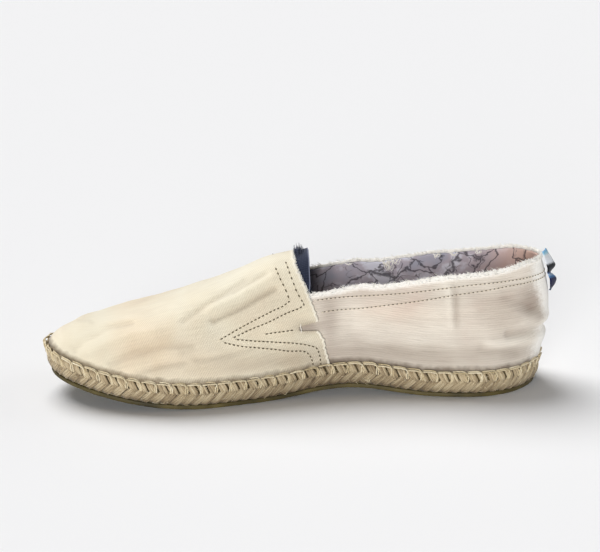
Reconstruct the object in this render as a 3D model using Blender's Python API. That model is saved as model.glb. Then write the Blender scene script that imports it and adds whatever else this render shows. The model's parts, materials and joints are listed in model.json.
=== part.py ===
"""A canvas slip-on espadrille for the right foot, standing on its braided jute sole.

The toe points along -X, the heel along +X and the big toe's side lies towards -Y.
The sole comes from one plan outline and one ground line, and the upper is lofted from
the sole's edge to a ridge line over the foot. Sizes are in metres.
"""

import functools
import math
from collections import namedtuple

import bmesh
import bpy
import numpy as np
from mathutils import Matrix

# Sizes of the sole
SOLE_LENGTH = 0.256
BALL_WIDTH = 0.0905
WAIST_WIDTH = 0.0625
HEEL_WIDTH = 0.0655
TOE_SPRING = 0.0120
HEEL_SPRING = 0.0016
ARCH_RISE = 0.0036
OUTSOLE_THICKNESS = 0.0022
OUTSOLE_INSET = 0.0030
JUTE_THICKNESS = 0.0118
JUTE_TAPER = 0.0016
INSOLE_THICKNESS = 0.0026
INSOLE_INSET = 0.0012
INSOLE_TOE_GAP = 0.0090

# Where the underside leaves the floor, as shares of the sole's length from the heel, and
# how sharply it curves up at its ends
ARCH_PLACE = 0.40
ARCH_SPAN = 0.17
TOE_SPRING_START = 0.66
TOE_SPRING_CURVE = 1.8
HEEL_SPRING_START = 0.07
HEEL_SPRING_CURVE = 1.6

# Where the upper's edge starts to draw in from the sole's, as shares of its length
TOE_MARGIN_START = 0.80
HEEL_MARGIN_START = 0.15
INSOLE_TOE_START = 0.85

# Sizes of the braid on the side of the sole
BRAID_PITCH = 0.0051
BRAID_RELIEF = 0.0010
POINTS_PER_LOBE = 3

# Sizes of the upper
UPPER_WALL = 0.0013
VAMP_WALL = 0.0011
VAMP_LIFT = 0.0004
TOE_MARGIN = 0.0034
SIDE_MARGIN = 0.0014
HEEL_MARGIN = 0.0004
TOE_BOX_HEIGHT = 0.0330
THROAT_HEIGHT = 0.0685
COLLAR_HEIGHT = 0.0530
BACK_HEIGHT = 0.0665
HEEL_BULGE = 0.0042
HEEL_REACH = 0.0080
TOE_REACH = 0.0220
SECTIONS = 44
LEVELS = 9
BULGE_SHARE = 0.80

# Sizes of the ribbon loop on the heel
LOOP_WIDTH = 0.0100
LOOP_THICKNESS = 0.0009
LOOP_HEIGHT = 0.0215
LOOP_REACH = 0.0046
LOOP_STEPS = 20
LOBE_CURVE = 0.7
PINCH_SHARE = 0.35

# Gap that touching pieces keep, so that their meshes stay clear of each other
CLEARANCE = 0.0003
# Extra length of a cutting form past what it cuts
OVERCUT = 0.010

JUTE_BOTTOM = OUTSOLE_THICKNESS + CLEARANCE
JUTE_TOP = JUTE_BOTTOM + JUTE_THICKNESS
UPPER_BOTTOM = JUTE_TOP + CLEARANCE

# Half widths of the sole, as shares of the size that they follow, heel to toe
OutlineRow = namedtuple("OutlineRow", "along size medial lateral")
OUTLINE = (
    OutlineRow(0.010, HEEL_WIDTH, 0.150, 0.150),
    OutlineRow(0.030, HEEL_WIDTH, 0.265, 0.265),
    OutlineRow(0.075, HEEL_WIDTH, 0.400, 0.400),
    OutlineRow(0.130, HEEL_WIDTH, 0.472, 0.475),
    OutlineRow(0.200, HEEL_WIDTH, 0.462, 0.505),
    OutlineRow(0.290, HEEL_WIDTH, 0.395, 0.535),
    OutlineRow(0.380, WAIST_WIDTH, 0.362, 0.605),
    OutlineRow(0.460, WAIST_WIDTH, 0.385, 0.640),
    OutlineRow(0.540, WAIST_WIDTH, 0.462, 0.700),
    OutlineRow(0.620, BALL_WIDTH, 0.382, 0.530),
    OutlineRow(0.690, BALL_WIDTH, 0.426, 0.556),
    OutlineRow(0.750, BALL_WIDTH, 0.438, 0.552),
    OutlineRow(0.810, BALL_WIDTH, 0.420, 0.505),
    OutlineRow(0.870, BALL_WIDTH, 0.370, 0.415),
    OutlineRow(0.925, BALL_WIDTH, 0.295, 0.308),
    OutlineRow(0.965, BALL_WIDTH, 0.210, 0.215),
    OutlineRow(0.990, BALL_WIDTH, 0.112, 0.128),
)
# How far the toe's tip lies to the lateral side, as a share of the ball's width
TOE_TIP_SHIFT = 0.005
# Points of the dense edge of one side, points that its closed curve repeats past its
# ends, and the share of the edge's length over which its direction is read
EDGE_STEPS = 400
WRAP = 3
DIRECTION_SHARE = 0.002

# Ridge over the foot, toe to heel: height as a share of the size that it follows, and
# its shift to the lateral side as a share of the ball's width. Behind the throat it
# is the top of the closed form that the collar is cut from.
RidgeRow = namedtuple("RidgeRow", "along size height shift fullness")
RIDGE = (
    RidgeRow(0.000, BACK_HEIGHT, 1.270, 0.000, 2.10),
    RidgeRow(0.250, BACK_HEIGHT, 1.250, 0.030, 2.15),
    RidgeRow(0.400, BACK_HEIGHT, 1.150, 0.040, 2.10),
    RidgeRow(0.500, THROAT_HEIGHT, 1.000, 0.030, 2.00),
    RidgeRow(0.545, THROAT_HEIGHT, 0.963, 0.022, 2.00),
    RidgeRow(0.585, THROAT_HEIGHT, 0.903, 0.015, 2.00),
    RidgeRow(0.625, THROAT_HEIGHT, 0.840, 0.010, 2.00),
    RidgeRow(0.705, THROAT_HEIGHT, 0.733, -0.010, 2.05),
    RidgeRow(0.785, THROAT_HEIGHT, 0.640, -0.015, 2.15),
    RidgeRow(0.865, TOE_BOX_HEIGHT, 1.180, -0.010, 2.20),
    RidgeRow(0.925, TOE_BOX_HEIGHT, 1.070, 0.000, 2.20),
    RidgeRow(0.965, TOE_BOX_HEIGHT, 0.980, 0.000, 2.20),
    RidgeRow(1.000, TOE_BOX_HEIGHT, 0.890, 0.000, 2.20),
)
# How closely the walls of the heel and of the toe draw together on the ridge, 0 to 1
RIDGE_EASE = 0.85

# Side views, each point a place along the sole and a share of the height it follows
SidePoint = namedtuple("SidePoint", "along size height")
TOPLINE = (
    SidePoint(0.500, THROAT_HEIGHT, 1.060),
    SidePoint(0.492, THROAT_HEIGHT, 0.905),
    SidePoint(0.484, THROAT_HEIGHT, 0.835),
    SidePoint(0.473, COLLAR_HEIGHT, 1.000),
    SidePoint(0.440, COLLAR_HEIGHT, 1.020),
    SidePoint(0.365, COLLAR_HEIGHT, 1.090),
    SidePoint(0.220, BACK_HEIGHT, 0.930),
    SidePoint(0.100, BACK_HEIGHT, 0.975),
    SidePoint(0.020, BACK_HEIGHT, 1.000),
)
VAMP_EDGE = (
    SidePoint(0.470, COLLAR_HEIGHT, 1.100),
    SidePoint(0.470, COLLAR_HEIGHT, 0.940),
    SidePoint(0.463, COLLAR_HEIGHT, 0.830),
    SidePoint(0.457, COLLAR_HEIGHT, 0.745),
    SidePoint(0.494, COLLAR_HEIGHT, 0.715),
    SidePoint(0.494, COLLAR_HEIGHT, 0.668),
    SidePoint(0.458, COLLAR_HEIGHT, 0.666),
    SidePoint(0.451, COLLAR_HEIGHT, 0.610),
    SidePoint(0.443, COLLAR_HEIGHT, 0.420),
    SidePoint(0.433, COLLAR_HEIGHT, 0.050),
)

# Side of the braid from the ground up: height as a share of the rope's thickness, swell
# as a share of the relief, and lean towards the heel as a share of the pitch
BraidRow = namedtuple("BraidRow", "height swell lean")
BRAID = (
    BraidRow(0.00, 0.00, 0.000),
    BraidRow(0.25, 1.00, 0.333),
    BraidRow(0.52, 0.25, 0.667),
    BraidRow(0.78, 1.00, 0.333),
    BraidRow(1.00, 0.00, 0.000),
)

Finish = namedtuple("Finish", "colour roughness")
CANVAS = Finish((0.80, 0.70, 0.56), 0.92)
JUTE = Finish((0.42, 0.33, 0.20), 0.95)
RUBBER = Finish((0.15, 0.12, 0.05), 0.70)
LINING = Finish((0.30, 0.29, 0.34), 0.90)
RIBBON = Finish((0.10, 0.30, 0.62), 0.45)


def clear_scene():
    """Removes every object that the file holds."""
    for old in list(bpy.data.objects):
        bpy.data.objects.remove(old, do_unlink=True)


def ramp(value, start, end):
    """Share of the way from start to end, held at 0 before and at 1 after."""
    return min(1.0, max(0.0, (value - start) / (end - start)))


def smooth_through(knots, values, places):
    """Smooth curve through values at knots, read at places between them."""
    knots = np.asarray(knots, float)
    values = np.asarray(values, float)
    slopes = np.gradient(values, knots)
    places = np.clip(places, knots[0], knots[-1])
    index = np.clip(np.searchsorted(knots, places) - 1, 0, len(knots) - 2)
    width = knots[index + 1] - knots[index]
    part = (places - knots[index]) / width
    start = (1 + 2 * part) * (1 - part) ** 2 * values[index]
    end = part ** 2 * (3 - 2 * part) * values[index + 1]
    leaving = part * (1 - part) ** 2 * width * slopes[index]
    arriving = part ** 2 * (part - 1) * width * slopes[index + 1]
    return start + end + leaving + arriving


def place_x(along):
    """X of a place along the sole, given as a share of its length from the heel."""
    return (0.5 - along) * SOLE_LENGTH


def share_along(x):
    """Share of the sole's length from the heel to x."""
    return 0.5 - x / SOLE_LENGTH


def ground(x):
    """Height of the sole's underside: flat under heel and ball, raised between and at the tips."""
    along = share_along(x)
    arch = 0.5 + 0.5 * math.cos(math.pi * min(1.0, abs(along - ARCH_PLACE) / ARCH_SPAN))
    toe = ramp(along, TOE_SPRING_START, 1.0) ** TOE_SPRING_CURVE
    heel = ramp(along, HEEL_SPRING_START, 0.0) ** HEEL_SPRING_CURVE
    return ARCH_RISE * arch + TOE_SPRING * toe + HEEL_SPRING * heel


@functools.lru_cache(maxsize=None)
def plan_edges():
    """Dense plan of the sole's medial and lateral edges, each from the heel to the toe."""
    medial = [(place_x(row.along), -row.size * row.medial) for row in OUTLINE]
    lateral = [(place_x(row.along), row.size * row.lateral) for row in OUTLINE]
    heel_tip = [(place_x(0.0), 0.0)]
    toe_tip = [(place_x(1.0), BALL_WIDTH * TOE_TIP_SHIFT)]
    points = np.array(heel_tip + medial + toe_tip + lateral[::-1])
    wrapped = np.concatenate([points[-WRAP:], points, points[:WRAP + 1]])
    spans = np.linalg.norm(np.diff(wrapped, axis=0), axis=1) ** 0.5
    knots = np.concatenate([[0.0], np.cumsum(spans)])
    start = knots[WRAP]
    toe = knots[WRAP + len(medial) + 1]
    end = knots[WRAP + len(points)]
    sides = []
    for places in (np.linspace(start, toe, EDGE_STEPS), np.linspace(end, toe, EDGE_STEPS)):
        x = smooth_through(knots, wrapped[:, 0], places)
        y = smooth_through(knots, wrapped[:, 1], places)
        sides.append(np.stack([x, y], axis=1))
    return sides


def plan_sides(count, margin):
    """Medial and lateral edges of the sole, moved in by a margin, each of count + 1 points.

    The margin is a length, or a function of the place along the sole. Both sides share
    their first point at the heel and their last at the toe, and points of one number
    face each other.
    """
    sides = []
    for outward, side in zip((-1.0, 1.0), plan_edges()):
        run = np.concatenate([[0.0], np.cumsum(np.linalg.norm(np.diff(side, axis=0), axis=1))])
        wanted = np.linspace(0.0, run[-1], count + 1)
        x = np.interp(wanted, run, side[:, 0])
        y = np.interp(wanted, run, side[:, 1])
        step = run[-1] * DIRECTION_SHARE
        ahead_x = np.interp(wanted + step, run, side[:, 0])
        behind_x = np.interp(wanted - step, run, side[:, 0])
        ahead_y = np.interp(wanted + step, run, side[:, 1])
        behind_y = np.interp(wanted - step, run, side[:, 1])
        normal = np.stack([outward * (ahead_y - behind_y), -outward * (ahead_x - behind_x)], axis=1)
        normal /= np.linalg.norm(normal, axis=1)[:, None]
        normal[0] = (1.0, 0.0)
        normal[-1] = (-1.0, 0.0)
        moved = [margin(share_along(value)) if callable(margin) else margin for value in x]
        points = np.stack([x, y], axis=1) - normal * np.array(moved)[:, None]
        sides.append((points, normal))
    return sides


def add_object(name, mesh_maker, finish):
    """Adds an object of a new mesh that mesh_maker fills, in its own matt material."""
    mesh = bpy.data.meshes.new(name)
    work = bmesh.new()
    mesh_maker(work)
    bmesh.ops.recalc_face_normals(work, faces=work.faces)
    work.to_mesh(mesh)
    work.free()
    mesh.shade_smooth()
    mesh.set_sharp_from_angle(angle=math.radians(40))
    material = bpy.data.materials.new(name)
    material.use_nodes = True
    shader = material.node_tree.nodes["Principled BSDF"]
    shader.inputs["Base Color"].default_value = (*finish.colour, 1.0)
    shader.inputs["Roughness"].default_value = finish.roughness
    shader.inputs["Metallic"].default_value = 0.0
    mesh.materials.append(material)
    made = bpy.data.objects.new(name, mesh)
    bpy.context.scene.collection.objects.link(made)
    return made


def as_cutter(made):
    """Marks an object as a form that only cuts or adds to others."""
    made.hide_render = True
    made.display_type = "WIRE"
    return made


def ring_order(medial, lateral):
    """One closed ring from two sides that share their first and last points."""
    return list(medial) + list(lateral[-2:0:-1])


def loft(work, rings, closed_top=True):
    """Joins rings of equal counts, each made by ring_order, into a closed form.

    The lowest ring is closed by strips across it, and so is the highest one unless its
    sides meet along a ridge.
    """
    loops = [[work.verts.new(point) for point in ring] for ring in rings]
    size = len(loops[0])
    for lower, upper in zip(loops, loops[1:]):
        for index in range(size):
            after = (index + 1) % size
            work.faces.new((lower[index], lower[after], upper[after], upper[index]))
    ends = [loops[0], loops[-1]] if closed_top else [loops[0]]
    for loop in ends:
        for index in range(size // 2):
            corners = [loop[index], loop[index + 1], loop[-index - 1], loop[-index]]
            if index == 0:
                corners = [loop[0], loop[1], loop[-1]]
            elif index == size // 2 - 1:
                corners = [loop[index], loop[index + 1], loop[-index]]
            work.faces.new(corners)
    if not closed_top:
        bmesh.ops.remove_doubles(work, verts=loops[-1], dist=0.00001)


def flat_ring(count, margin, height):
    """Ring at a height above the sole's underside."""
    (medial, _), (lateral, _) = plan_sides(count, margin)
    points = [(x, y, ground(x) + height) for x, y in medial]
    others = [(x, y, ground(x) + height) for x, y in lateral]
    return ring_order(points, others)


def build_outsole():
    """Thin rubber sheet under the rope sole."""
    def fill(work):
        margin = OUTSOLE_INSET
        rings = [flat_ring(SECTIONS, margin, 0.0), flat_ring(SECTIONS, margin, OUTSOLE_THICKNESS)]
        loft(work, rings)
    return add_object("outsole", fill, RUBBER)


def build_jute_sole():
    """Rope sole whose side shows two rows of slanting lobes that meet in a groove."""
    side_length = np.linalg.norm(np.diff(plan_edges()[0], axis=0), axis=1).sum()
    lobes = round(side_length / BRAID_PITCH)
    count = lobes * POINTS_PER_LOBE

    def fill(work):
        rings = []
        for row in BRAID:
            taper = JUTE_TAPER * (1.0 - row.height)
            sides = []
            for points, normals in plan_sides(count, taper + BRAID_RELIEF):
                turns = np.arange(count + 1) / POINTS_PER_LOBE + row.lean
                swell = BRAID_RELIEF * row.swell * (0.5 + 0.5 * np.cos(2 * math.pi * turns))
                swell[0] = swell[-1] = 0.5 * BRAID_RELIEF * row.swell
                moved = points + normals * swell[:, None]
                height = JUTE_BOTTOM + JUTE_THICKNESS * row.height
                sides.append([(x, y, ground(x) + height) for x, y in moved])
            rings.append(ring_order(*sides))
        loft(work, rings)
    return add_object("jute_sole", fill, JUTE)


def upper_margin(along):
    """How far the upper's edge lies inside the sole's, at a place along it."""
    toe = ramp(along, TOE_MARGIN_START, 1.0) * (TOE_MARGIN - SIDE_MARGIN)
    heel = ramp(along, HEEL_MARGIN_START, 0.0) * (SIDE_MARGIN - HEEL_MARGIN)
    return SIDE_MARGIN + toe - heel


def build_insole():
    """Covered footbed that lies on the rope inside the upper."""
    def margin(along):
        toe = ramp(along, INSOLE_TOE_START, 1.0) * INSOLE_TOE_GAP
        return upper_margin(along) + UPPER_WALL + INSOLE_INSET + toe

    def fill(work):
        base = UPPER_BOTTOM
        rings = [flat_ring(SECTIONS, margin, base), flat_ring(SECTIONS, margin, base + INSOLE_THICKNESS)]
        loft(work, rings)
    return add_object("insole", fill, LINING)


def ridge_value(along, column):
    """Value of the ridge table's rows at places along the sole."""
    places = [row.along for row in RIDGE]
    return float(smooth_through(places, [column(row) for row in RIDGE], along))


def ridge_place(along):
    """Place on the ridge that the wall from a place on the sole's edge runs to."""
    eased = (1.0 - RIDGE_EASE) * along + RIDGE_EASE * along ** 2 * (3.0 - 2.0 * along)
    return HEEL_REACH / SOLE_LENGTH + eased * (1.0 - (HEEL_REACH + TOE_REACH) / SOLE_LENGTH)


def heel_bulge(rise, facing):
    """How far the heel stands out at a share of the wall's height, for a wall facing back by a share."""
    swell = math.sin(math.pi * min(1.0, rise / BULGE_SHARE)) if rise > 0.0 else 0.0
    return HEEL_BULGE * swell * max(0.0, facing) ** 2


def wall_path(x, y, facing, place, offset, base):
    """Points of the upper's form from a point of the sole's edge up to a place on the ridge."""
    top_x = place_x(place)
    top_y = ridge_value(place, lambda row: BALL_WIDTH * row.shift)
    fullness = ridge_value(place, lambda row: row.fullness)
    low = ground(x) + base
    points = []
    for level in range(LEVELS + 1):
        turn = 0.5 * math.pi * level / LEVELS
        inward = 1.0 - math.cos(turn) ** (2.0 / fullness)
        rise = math.sin(turn) ** (2.0 / fullness)
        plan_x = x + (top_x - x) * inward
        high = ridge_value(share_along(plan_x), lambda row: row.size * row.height) + offset
        bulge = heel_bulge(rise, facing) * facing
        points.append((plan_x + bulge, y + (top_y - y) * inward, low + (high - low) * rise))
    return points


def upper_rings(offset, base):
    """Rings of the upper's form from the sole's edge to the ridge, moved out by an offset.

    A negative offset gives the inner form of a wall of that thickness.
    """
    sides = plan_sides(SECTIONS, lambda along: upper_margin(along) - offset)
    middle = 0.5 * (sides[0][0][:, 0] + sides[1][0][:, 0])
    places = [ridge_place(share_along(x)) for x in middle]
    walls = []
    for points, normals in sides:
        feet = zip(points, normals, places)
        walls.append([wall_path(x, y, out[0], place, offset, base) for (x, y), out, place in feet])
    rings = []
    for level in range(LEVELS + 1):
        rings.append(ring_order(*[[path[level] for path in side] for side in walls]))
    return rings


def side_prism(work, outline):
    """Prism across the shoe whose side view is the outline, a list of x and z."""
    reach = BALL_WIDTH
    near = [work.verts.new((x, -reach, z)) for x, z in outline]
    face = work.faces.new(near)
    pulled = bmesh.ops.extrude_face_region(work, geom=[face])
    verts = [item for item in pulled["geom"] if isinstance(item, bmesh.types.BMVert)]
    bmesh.ops.translate(work, verts=verts, vec=(0.0, 2.0 * reach, 0.0))


def build_upper():
    """Canvas wall round the foot with the vamp as a second layer over its front."""
    above = BACK_HEIGHT * 1.5
    far_back = place_x(0.0) + 3.0 * OVERCUT

    def quarter_form(work):
        loft(work, upper_rings(0.0, UPPER_BOTTOM), closed_top=False)

    def vamp_form(work):
        loft(work, upper_rings(VAMP_WALL, UPPER_BOTTOM + VAMP_LIFT), closed_top=False)

    def inner_form(work):
        rings = upper_rings(-UPPER_WALL, UPPER_BOTTOM)
        skirt = [(x, y, z - OVERCUT) for x, y, z in rings[0]]
        loft(work, [skirt] + rings, closed_top=False)

    def collar_region(work):
        outline = [(place_x(point.along), point.size * point.height) for point in TOPLINE]
        back = [(far_back, outline[-1][1]), (far_back, above), (outline[0][0], above)]
        side_prism(work, outline + back)

    def vamp_region(work):
        outline = [(place_x(point.along), point.size * point.height) for point in VAMP_EDGE]
        front = place_x(1.0) - OVERCUT
        side_prism(work, [(front, above), (outline[0][0], above)] + outline + [(front, outline[-1][1])])

    upper = add_object("upper", quarter_form, CANVAS)
    vamp = as_cutter(add_object("vamp_layer", vamp_form, CANVAS))
    region = as_cutter(add_object("vamp_region", vamp_region, CANVAS))
    inner = as_cutter(add_object("inner_form", inner_form, CANVAS))
    collar = as_cutter(add_object("collar_region", collar_region, CANVAS))
    steps = (
        (vamp, "INTERSECT", region, "EXACT"),
        (upper, "UNION", vamp, "EXACT"),
        (upper, "DIFFERENCE", inner, "MANIFOLD"),
        (upper, "DIFFERENCE", collar, "MANIFOLD"),
    )
    for target, operation, tool, solver in steps:
        cut = target.modifiers.new(tool.name, "BOOLEAN")
        cut.operation = operation
        cut.solver = solver
        cut.object = tool
    return upper


def heel_wall():
    """Heights and X of the upper's back, along its middle."""
    rings = upper_rings(0.0, UPPER_BOTTOM)
    return [ring[0][2] for ring in rings], [ring[0][0] for ring in rings]


def build_pull_loop():
    """Ribbon sewn to the top of the heel, standing out in two lobes."""
    heights, places = heel_wall()
    seat = CLEARANCE + 0.5 * LOOP_THICKNESS

    def path(part):
        height = BACK_HEIGHT - 0.5 * LOOP_THICKNESS - LOOP_HEIGHT * part
        wave = abs(math.sin(2.0 * math.pi * part)) ** LOBE_CURVE
        pinch = PINCH_SHARE * math.sin(math.pi * part)
        out = LOOP_REACH * max(wave, pinch)
        return np.array([np.interp(height, heights, places) + seat + out, height])

    def fill(work):
        points = [path(step / LOOP_STEPS) for step in range(LOOP_STEPS + 1)]
        loops = []
        for number, point in enumerate(points):
            behind = points[max(0, number - 1)]
            ahead = points[min(LOOP_STEPS, number + 1)]
            along = (ahead - behind) / np.linalg.norm(ahead - behind)
            across = np.array([-along[1], along[0]]) * 0.5 * LOOP_THICKNESS
            corners = []
            for sign, side in ((1, 1), (1, -1), (-1, -1), (-1, 1)):
                x, z = point + sign * across
                corners.append(work.verts.new((x, side * 0.5 * LOOP_WIDTH, z)))
            loops.append(corners)
        for first, second in zip(loops, loops[1:]):
            for index in range(4):
                after = (index + 1) % 4
                work.faces.new((first[index], first[after], second[after], second[index]))
        work.faces.new(loops[0])
        work.faces.new(loops[-1])
    return add_object("pull_loop", fill, RIBBON)


def centre_on_box(pieces):
    """Moves every mesh so that the middle of the pieces' common box is the origin in plan."""
    graph = bpy.context.evaluated_depsgraph_get()
    corners = []
    for piece in pieces:
        shown = piece.evaluated_get(graph).to_mesh()
        corners += [tuple(vertex.co) for vertex in shown.vertices]
    middle = 0.5 * (np.min(corners, axis=0) + np.max(corners, axis=0))
    to_middle = Matrix.Translation((-middle[0], -middle[1], 0.0))
    for thing in bpy.data.objects:
        thing.data.transform(to_middle)
        thing.data.update()


def main():
    """Builds the shoe from the ground up."""
    clear_scene()
    pieces = [
        build_outsole(),
        build_jute_sole(),
        build_insole(),
        build_upper(),
        build_pull_loop(),
    ]
    centre_on_box(pieces)


main()
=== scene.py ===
"""Looks of a canvas slip-on espadrille for the right foot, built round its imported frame.

The canvas, its linings, the stitches and the frayed edges all lie on one form, which
repeats the sole's plan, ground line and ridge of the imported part. Places on the canvas are
read in the side view: millimetres from the heel, and millimetres above the floor.
"""

import json
import logging
import math
from dataclasses import dataclass, field
from enum import Enum
from functools import partial
from typing import Callable, ClassVar, NamedTuple, Optional, Sequence, Union

import bmesh
import bpy
import numpy as np
from mathutils import Matrix, Vector

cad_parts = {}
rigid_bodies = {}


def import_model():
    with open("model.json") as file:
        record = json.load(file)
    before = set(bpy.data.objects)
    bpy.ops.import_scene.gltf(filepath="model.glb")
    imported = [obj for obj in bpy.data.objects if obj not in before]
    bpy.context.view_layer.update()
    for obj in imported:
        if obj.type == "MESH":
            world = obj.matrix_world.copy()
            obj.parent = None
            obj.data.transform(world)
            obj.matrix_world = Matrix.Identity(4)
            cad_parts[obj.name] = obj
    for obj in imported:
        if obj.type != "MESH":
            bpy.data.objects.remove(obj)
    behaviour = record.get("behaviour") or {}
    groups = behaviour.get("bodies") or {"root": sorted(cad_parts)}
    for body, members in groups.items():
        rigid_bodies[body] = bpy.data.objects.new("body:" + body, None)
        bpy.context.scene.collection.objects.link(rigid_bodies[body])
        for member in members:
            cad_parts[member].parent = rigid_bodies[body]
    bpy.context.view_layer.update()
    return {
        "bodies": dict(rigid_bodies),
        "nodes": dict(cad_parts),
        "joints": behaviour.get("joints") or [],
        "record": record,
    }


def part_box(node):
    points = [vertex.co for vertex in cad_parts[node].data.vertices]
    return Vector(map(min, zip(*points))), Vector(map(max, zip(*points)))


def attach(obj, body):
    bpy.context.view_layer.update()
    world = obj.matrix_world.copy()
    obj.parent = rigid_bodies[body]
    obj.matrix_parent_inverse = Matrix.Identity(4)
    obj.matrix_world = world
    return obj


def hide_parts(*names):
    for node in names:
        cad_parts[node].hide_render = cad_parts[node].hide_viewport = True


# One number, or an array of them
Numbers = Union[float, np.ndarray]

LOG = logging.getLogger("espadrille")
MM = 0.001

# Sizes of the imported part, in metres
SOLE_LENGTH = 0.256
BALL_WIDTH = 0.0905
WAIST_WIDTH = 0.0625
HEEL_WIDTH = 0.0655
TOE_SPRING = 0.0120
HEEL_SPRING = 0.0016
ARCH_RISE = 0.0036
OUTSOLE_THICKNESS = 0.0022
OUTSOLE_INSET = 0.0030
JUTE_THICKNESS = 0.0118
JUTE_TAPER = 0.0016
INSOLE_THICKNESS = 0.0026
INSOLE_INSET = 0.0012
INSOLE_TOE_GAP = 0.0090
UPPER_WALL = 0.0013
VAMP_WALL = 0.0011
TOE_MARGIN = 0.0034
SIDE_MARGIN = 0.0014
HEEL_MARGIN = 0.0004
TOE_BOX_HEIGHT = 0.0330
THROAT_HEIGHT = 0.0685
BACK_HEIGHT = 0.0665
HEEL_BULGE = 0.0042
HEEL_REACH = 0.0080
TOE_REACH = 0.0220
TOE_TIP_SHIFT = 0.005
CLEARANCE = 0.0003

# Shares that shape the part's form
ARCH_PLACE = 0.40
ARCH_SPAN = 0.17
TOE_SPRING_START = 0.66
TOE_SPRING_CURVE = 1.8
HEEL_SPRING_START = 0.07
HEEL_SPRING_CURVE = 1.6
TOE_MARGIN_START = 0.80
HEEL_MARGIN_START = 0.15
INSOLE_TOE_START = 0.85
BULGE_SHARE = 0.80
RIDGE_EASE = 0.85

JUTE_BOTTOM = OUTSOLE_THICKNESS + CLEARANCE
JUTE_TOP = JUTE_BOTTOM + JUTE_THICKNESS
UPPER_BOTTOM = JUTE_TOP + CLEARANCE

# Points of the form's dense edges, and how its closed plan is read
EDGE_STEPS = 400
SHARE_STEPS = 1200
WRAP = 3
DIRECTION_SHARE = 0.002


class Side(Enum):
    """Sides of the shoe, each with the sign of its Y."""

    MEDIAL = -1.0
    LATERAL = 1.0

    @property
    def other(self) -> "Side":
        """The opposite side."""
        return Side.LATERAL if self is Side.MEDIAL else Side.MEDIAL


class OutlineRow(NamedTuple):
    """Half widths of the sole at a place, as shares of the size that they follow."""

    along: float
    size: float
    medial: float
    lateral: float


class RidgeRow(NamedTuple):
    """Height, sideways shift and fullness of the form under its ridge."""

    along: float
    size: float
    height: float
    shift: float
    fullness: float


OUTLINE = (
    OutlineRow(0.010, HEEL_WIDTH, 0.150, 0.150),
    OutlineRow(0.030, HEEL_WIDTH, 0.265, 0.265),
    OutlineRow(0.075, HEEL_WIDTH, 0.400, 0.400),
    OutlineRow(0.130, HEEL_WIDTH, 0.472, 0.475),
    OutlineRow(0.200, HEEL_WIDTH, 0.462, 0.505),
    OutlineRow(0.290, HEEL_WIDTH, 0.395, 0.535),
    OutlineRow(0.380, WAIST_WIDTH, 0.362, 0.605),
    OutlineRow(0.460, WAIST_WIDTH, 0.385, 0.640),
    OutlineRow(0.540, WAIST_WIDTH, 0.462, 0.700),
    OutlineRow(0.620, BALL_WIDTH, 0.382, 0.530),
    OutlineRow(0.690, BALL_WIDTH, 0.426, 0.556),
    OutlineRow(0.750, BALL_WIDTH, 0.438, 0.552),
    OutlineRow(0.810, BALL_WIDTH, 0.420, 0.505),
    OutlineRow(0.870, BALL_WIDTH, 0.370, 0.415),
    OutlineRow(0.925, BALL_WIDTH, 0.295, 0.308),
    OutlineRow(0.965, BALL_WIDTH, 0.210, 0.215),
    OutlineRow(0.990, BALL_WIDTH, 0.112, 0.128),
)

RIDGE = (
    RidgeRow(0.000, BACK_HEIGHT, 1.270, 0.000, 2.10),
    RidgeRow(0.250, BACK_HEIGHT, 1.250, 0.030, 2.15),
    RidgeRow(0.400, BACK_HEIGHT, 1.150, 0.040, 2.10),
    RidgeRow(0.500, THROAT_HEIGHT, 1.000, 0.030, 2.00),
    RidgeRow(0.545, THROAT_HEIGHT, 0.963, 0.022, 2.00),
    RidgeRow(0.585, THROAT_HEIGHT, 0.903, 0.015, 2.00),
    RidgeRow(0.625, THROAT_HEIGHT, 0.840, 0.010, 2.00),
    RidgeRow(0.705, THROAT_HEIGHT, 0.733, -0.010, 2.05),
    RidgeRow(0.785, THROAT_HEIGHT, 0.640, -0.015, 2.15),
    RidgeRow(0.865, TOE_BOX_HEIGHT, 1.180, -0.010, 2.20),
    RidgeRow(0.925, TOE_BOX_HEIGHT, 1.070, 0.000, 2.20),
    RidgeRow(0.965, TOE_BOX_HEIGHT, 0.980, 0.000, 2.20),
    RidgeRow(1.000, TOE_BOX_HEIGHT, 0.890, 0.000, 2.20),
)


class SidePlace(NamedTuple):
    """A place in the side view, in millimetres from the heel and above the floor."""

    along: float
    height: float


def places(*pairs: tuple[float, float]) -> tuple[SidePlace, ...]:
    """Side-view places from pairs of millimetres."""
    return tuple(SidePlace(*pair) for pair in pairs)


# Upper edge of the quarter, heel to front. It runs on under the vamp.
COLLAR_LINE = places(
    (-6, 66.9), (6, 67.3), (14, 66.9), (22, 65.4), (36, 63.7), (52, 62.3), (70, 59.4),
    (86, 57.2), (96, 57.3), (104, 55.6), (121, 53.2), (140, 52.4), (170, 50.0),
)
# Free edge of the vamp from the sole up to the ridge, without its slit
VAMP_LINE = places(
    (110.2, 13.0), (111.7, 18.9), (113.6, 25.7), (114.6, 31.0), (116.6, 34.4), (117.1, 36.0),
    (117.2, 39.9), (118.2, 43.7), (120.3, 49.2), (122.1, 53.3), (123.3, 56.6), (125.2, 60.0),
    (127.0, 63.8), (128.4, 69.5),
)
# Slit in the vamp's edge: its lower and upper corners at the edge and at its closed end
SLIT_LOW = places((117.1, 35.2), (126.4, 35.9))
SLIT_HIGH = places((117.2, 39.9), (126.4, 37.7))


class FoldKind(Enum):
    """Which sides of the shoe a fold lies on."""

    NEAR = "medial"
    FAR = "lateral"
    BOTH = "both"


@dataclass(frozen=True)
class Fold:
    """A soft ridge or trough pressed into the canvas.

    The depth is positive for a ridge and negative for a trough, in millimetres, and the
    width is the half width over which it fades.
    """

    depth: float
    width: float
    line: tuple[SidePlace, ...]
    kind: FoldKind = FoldKind.NEAR


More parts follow.
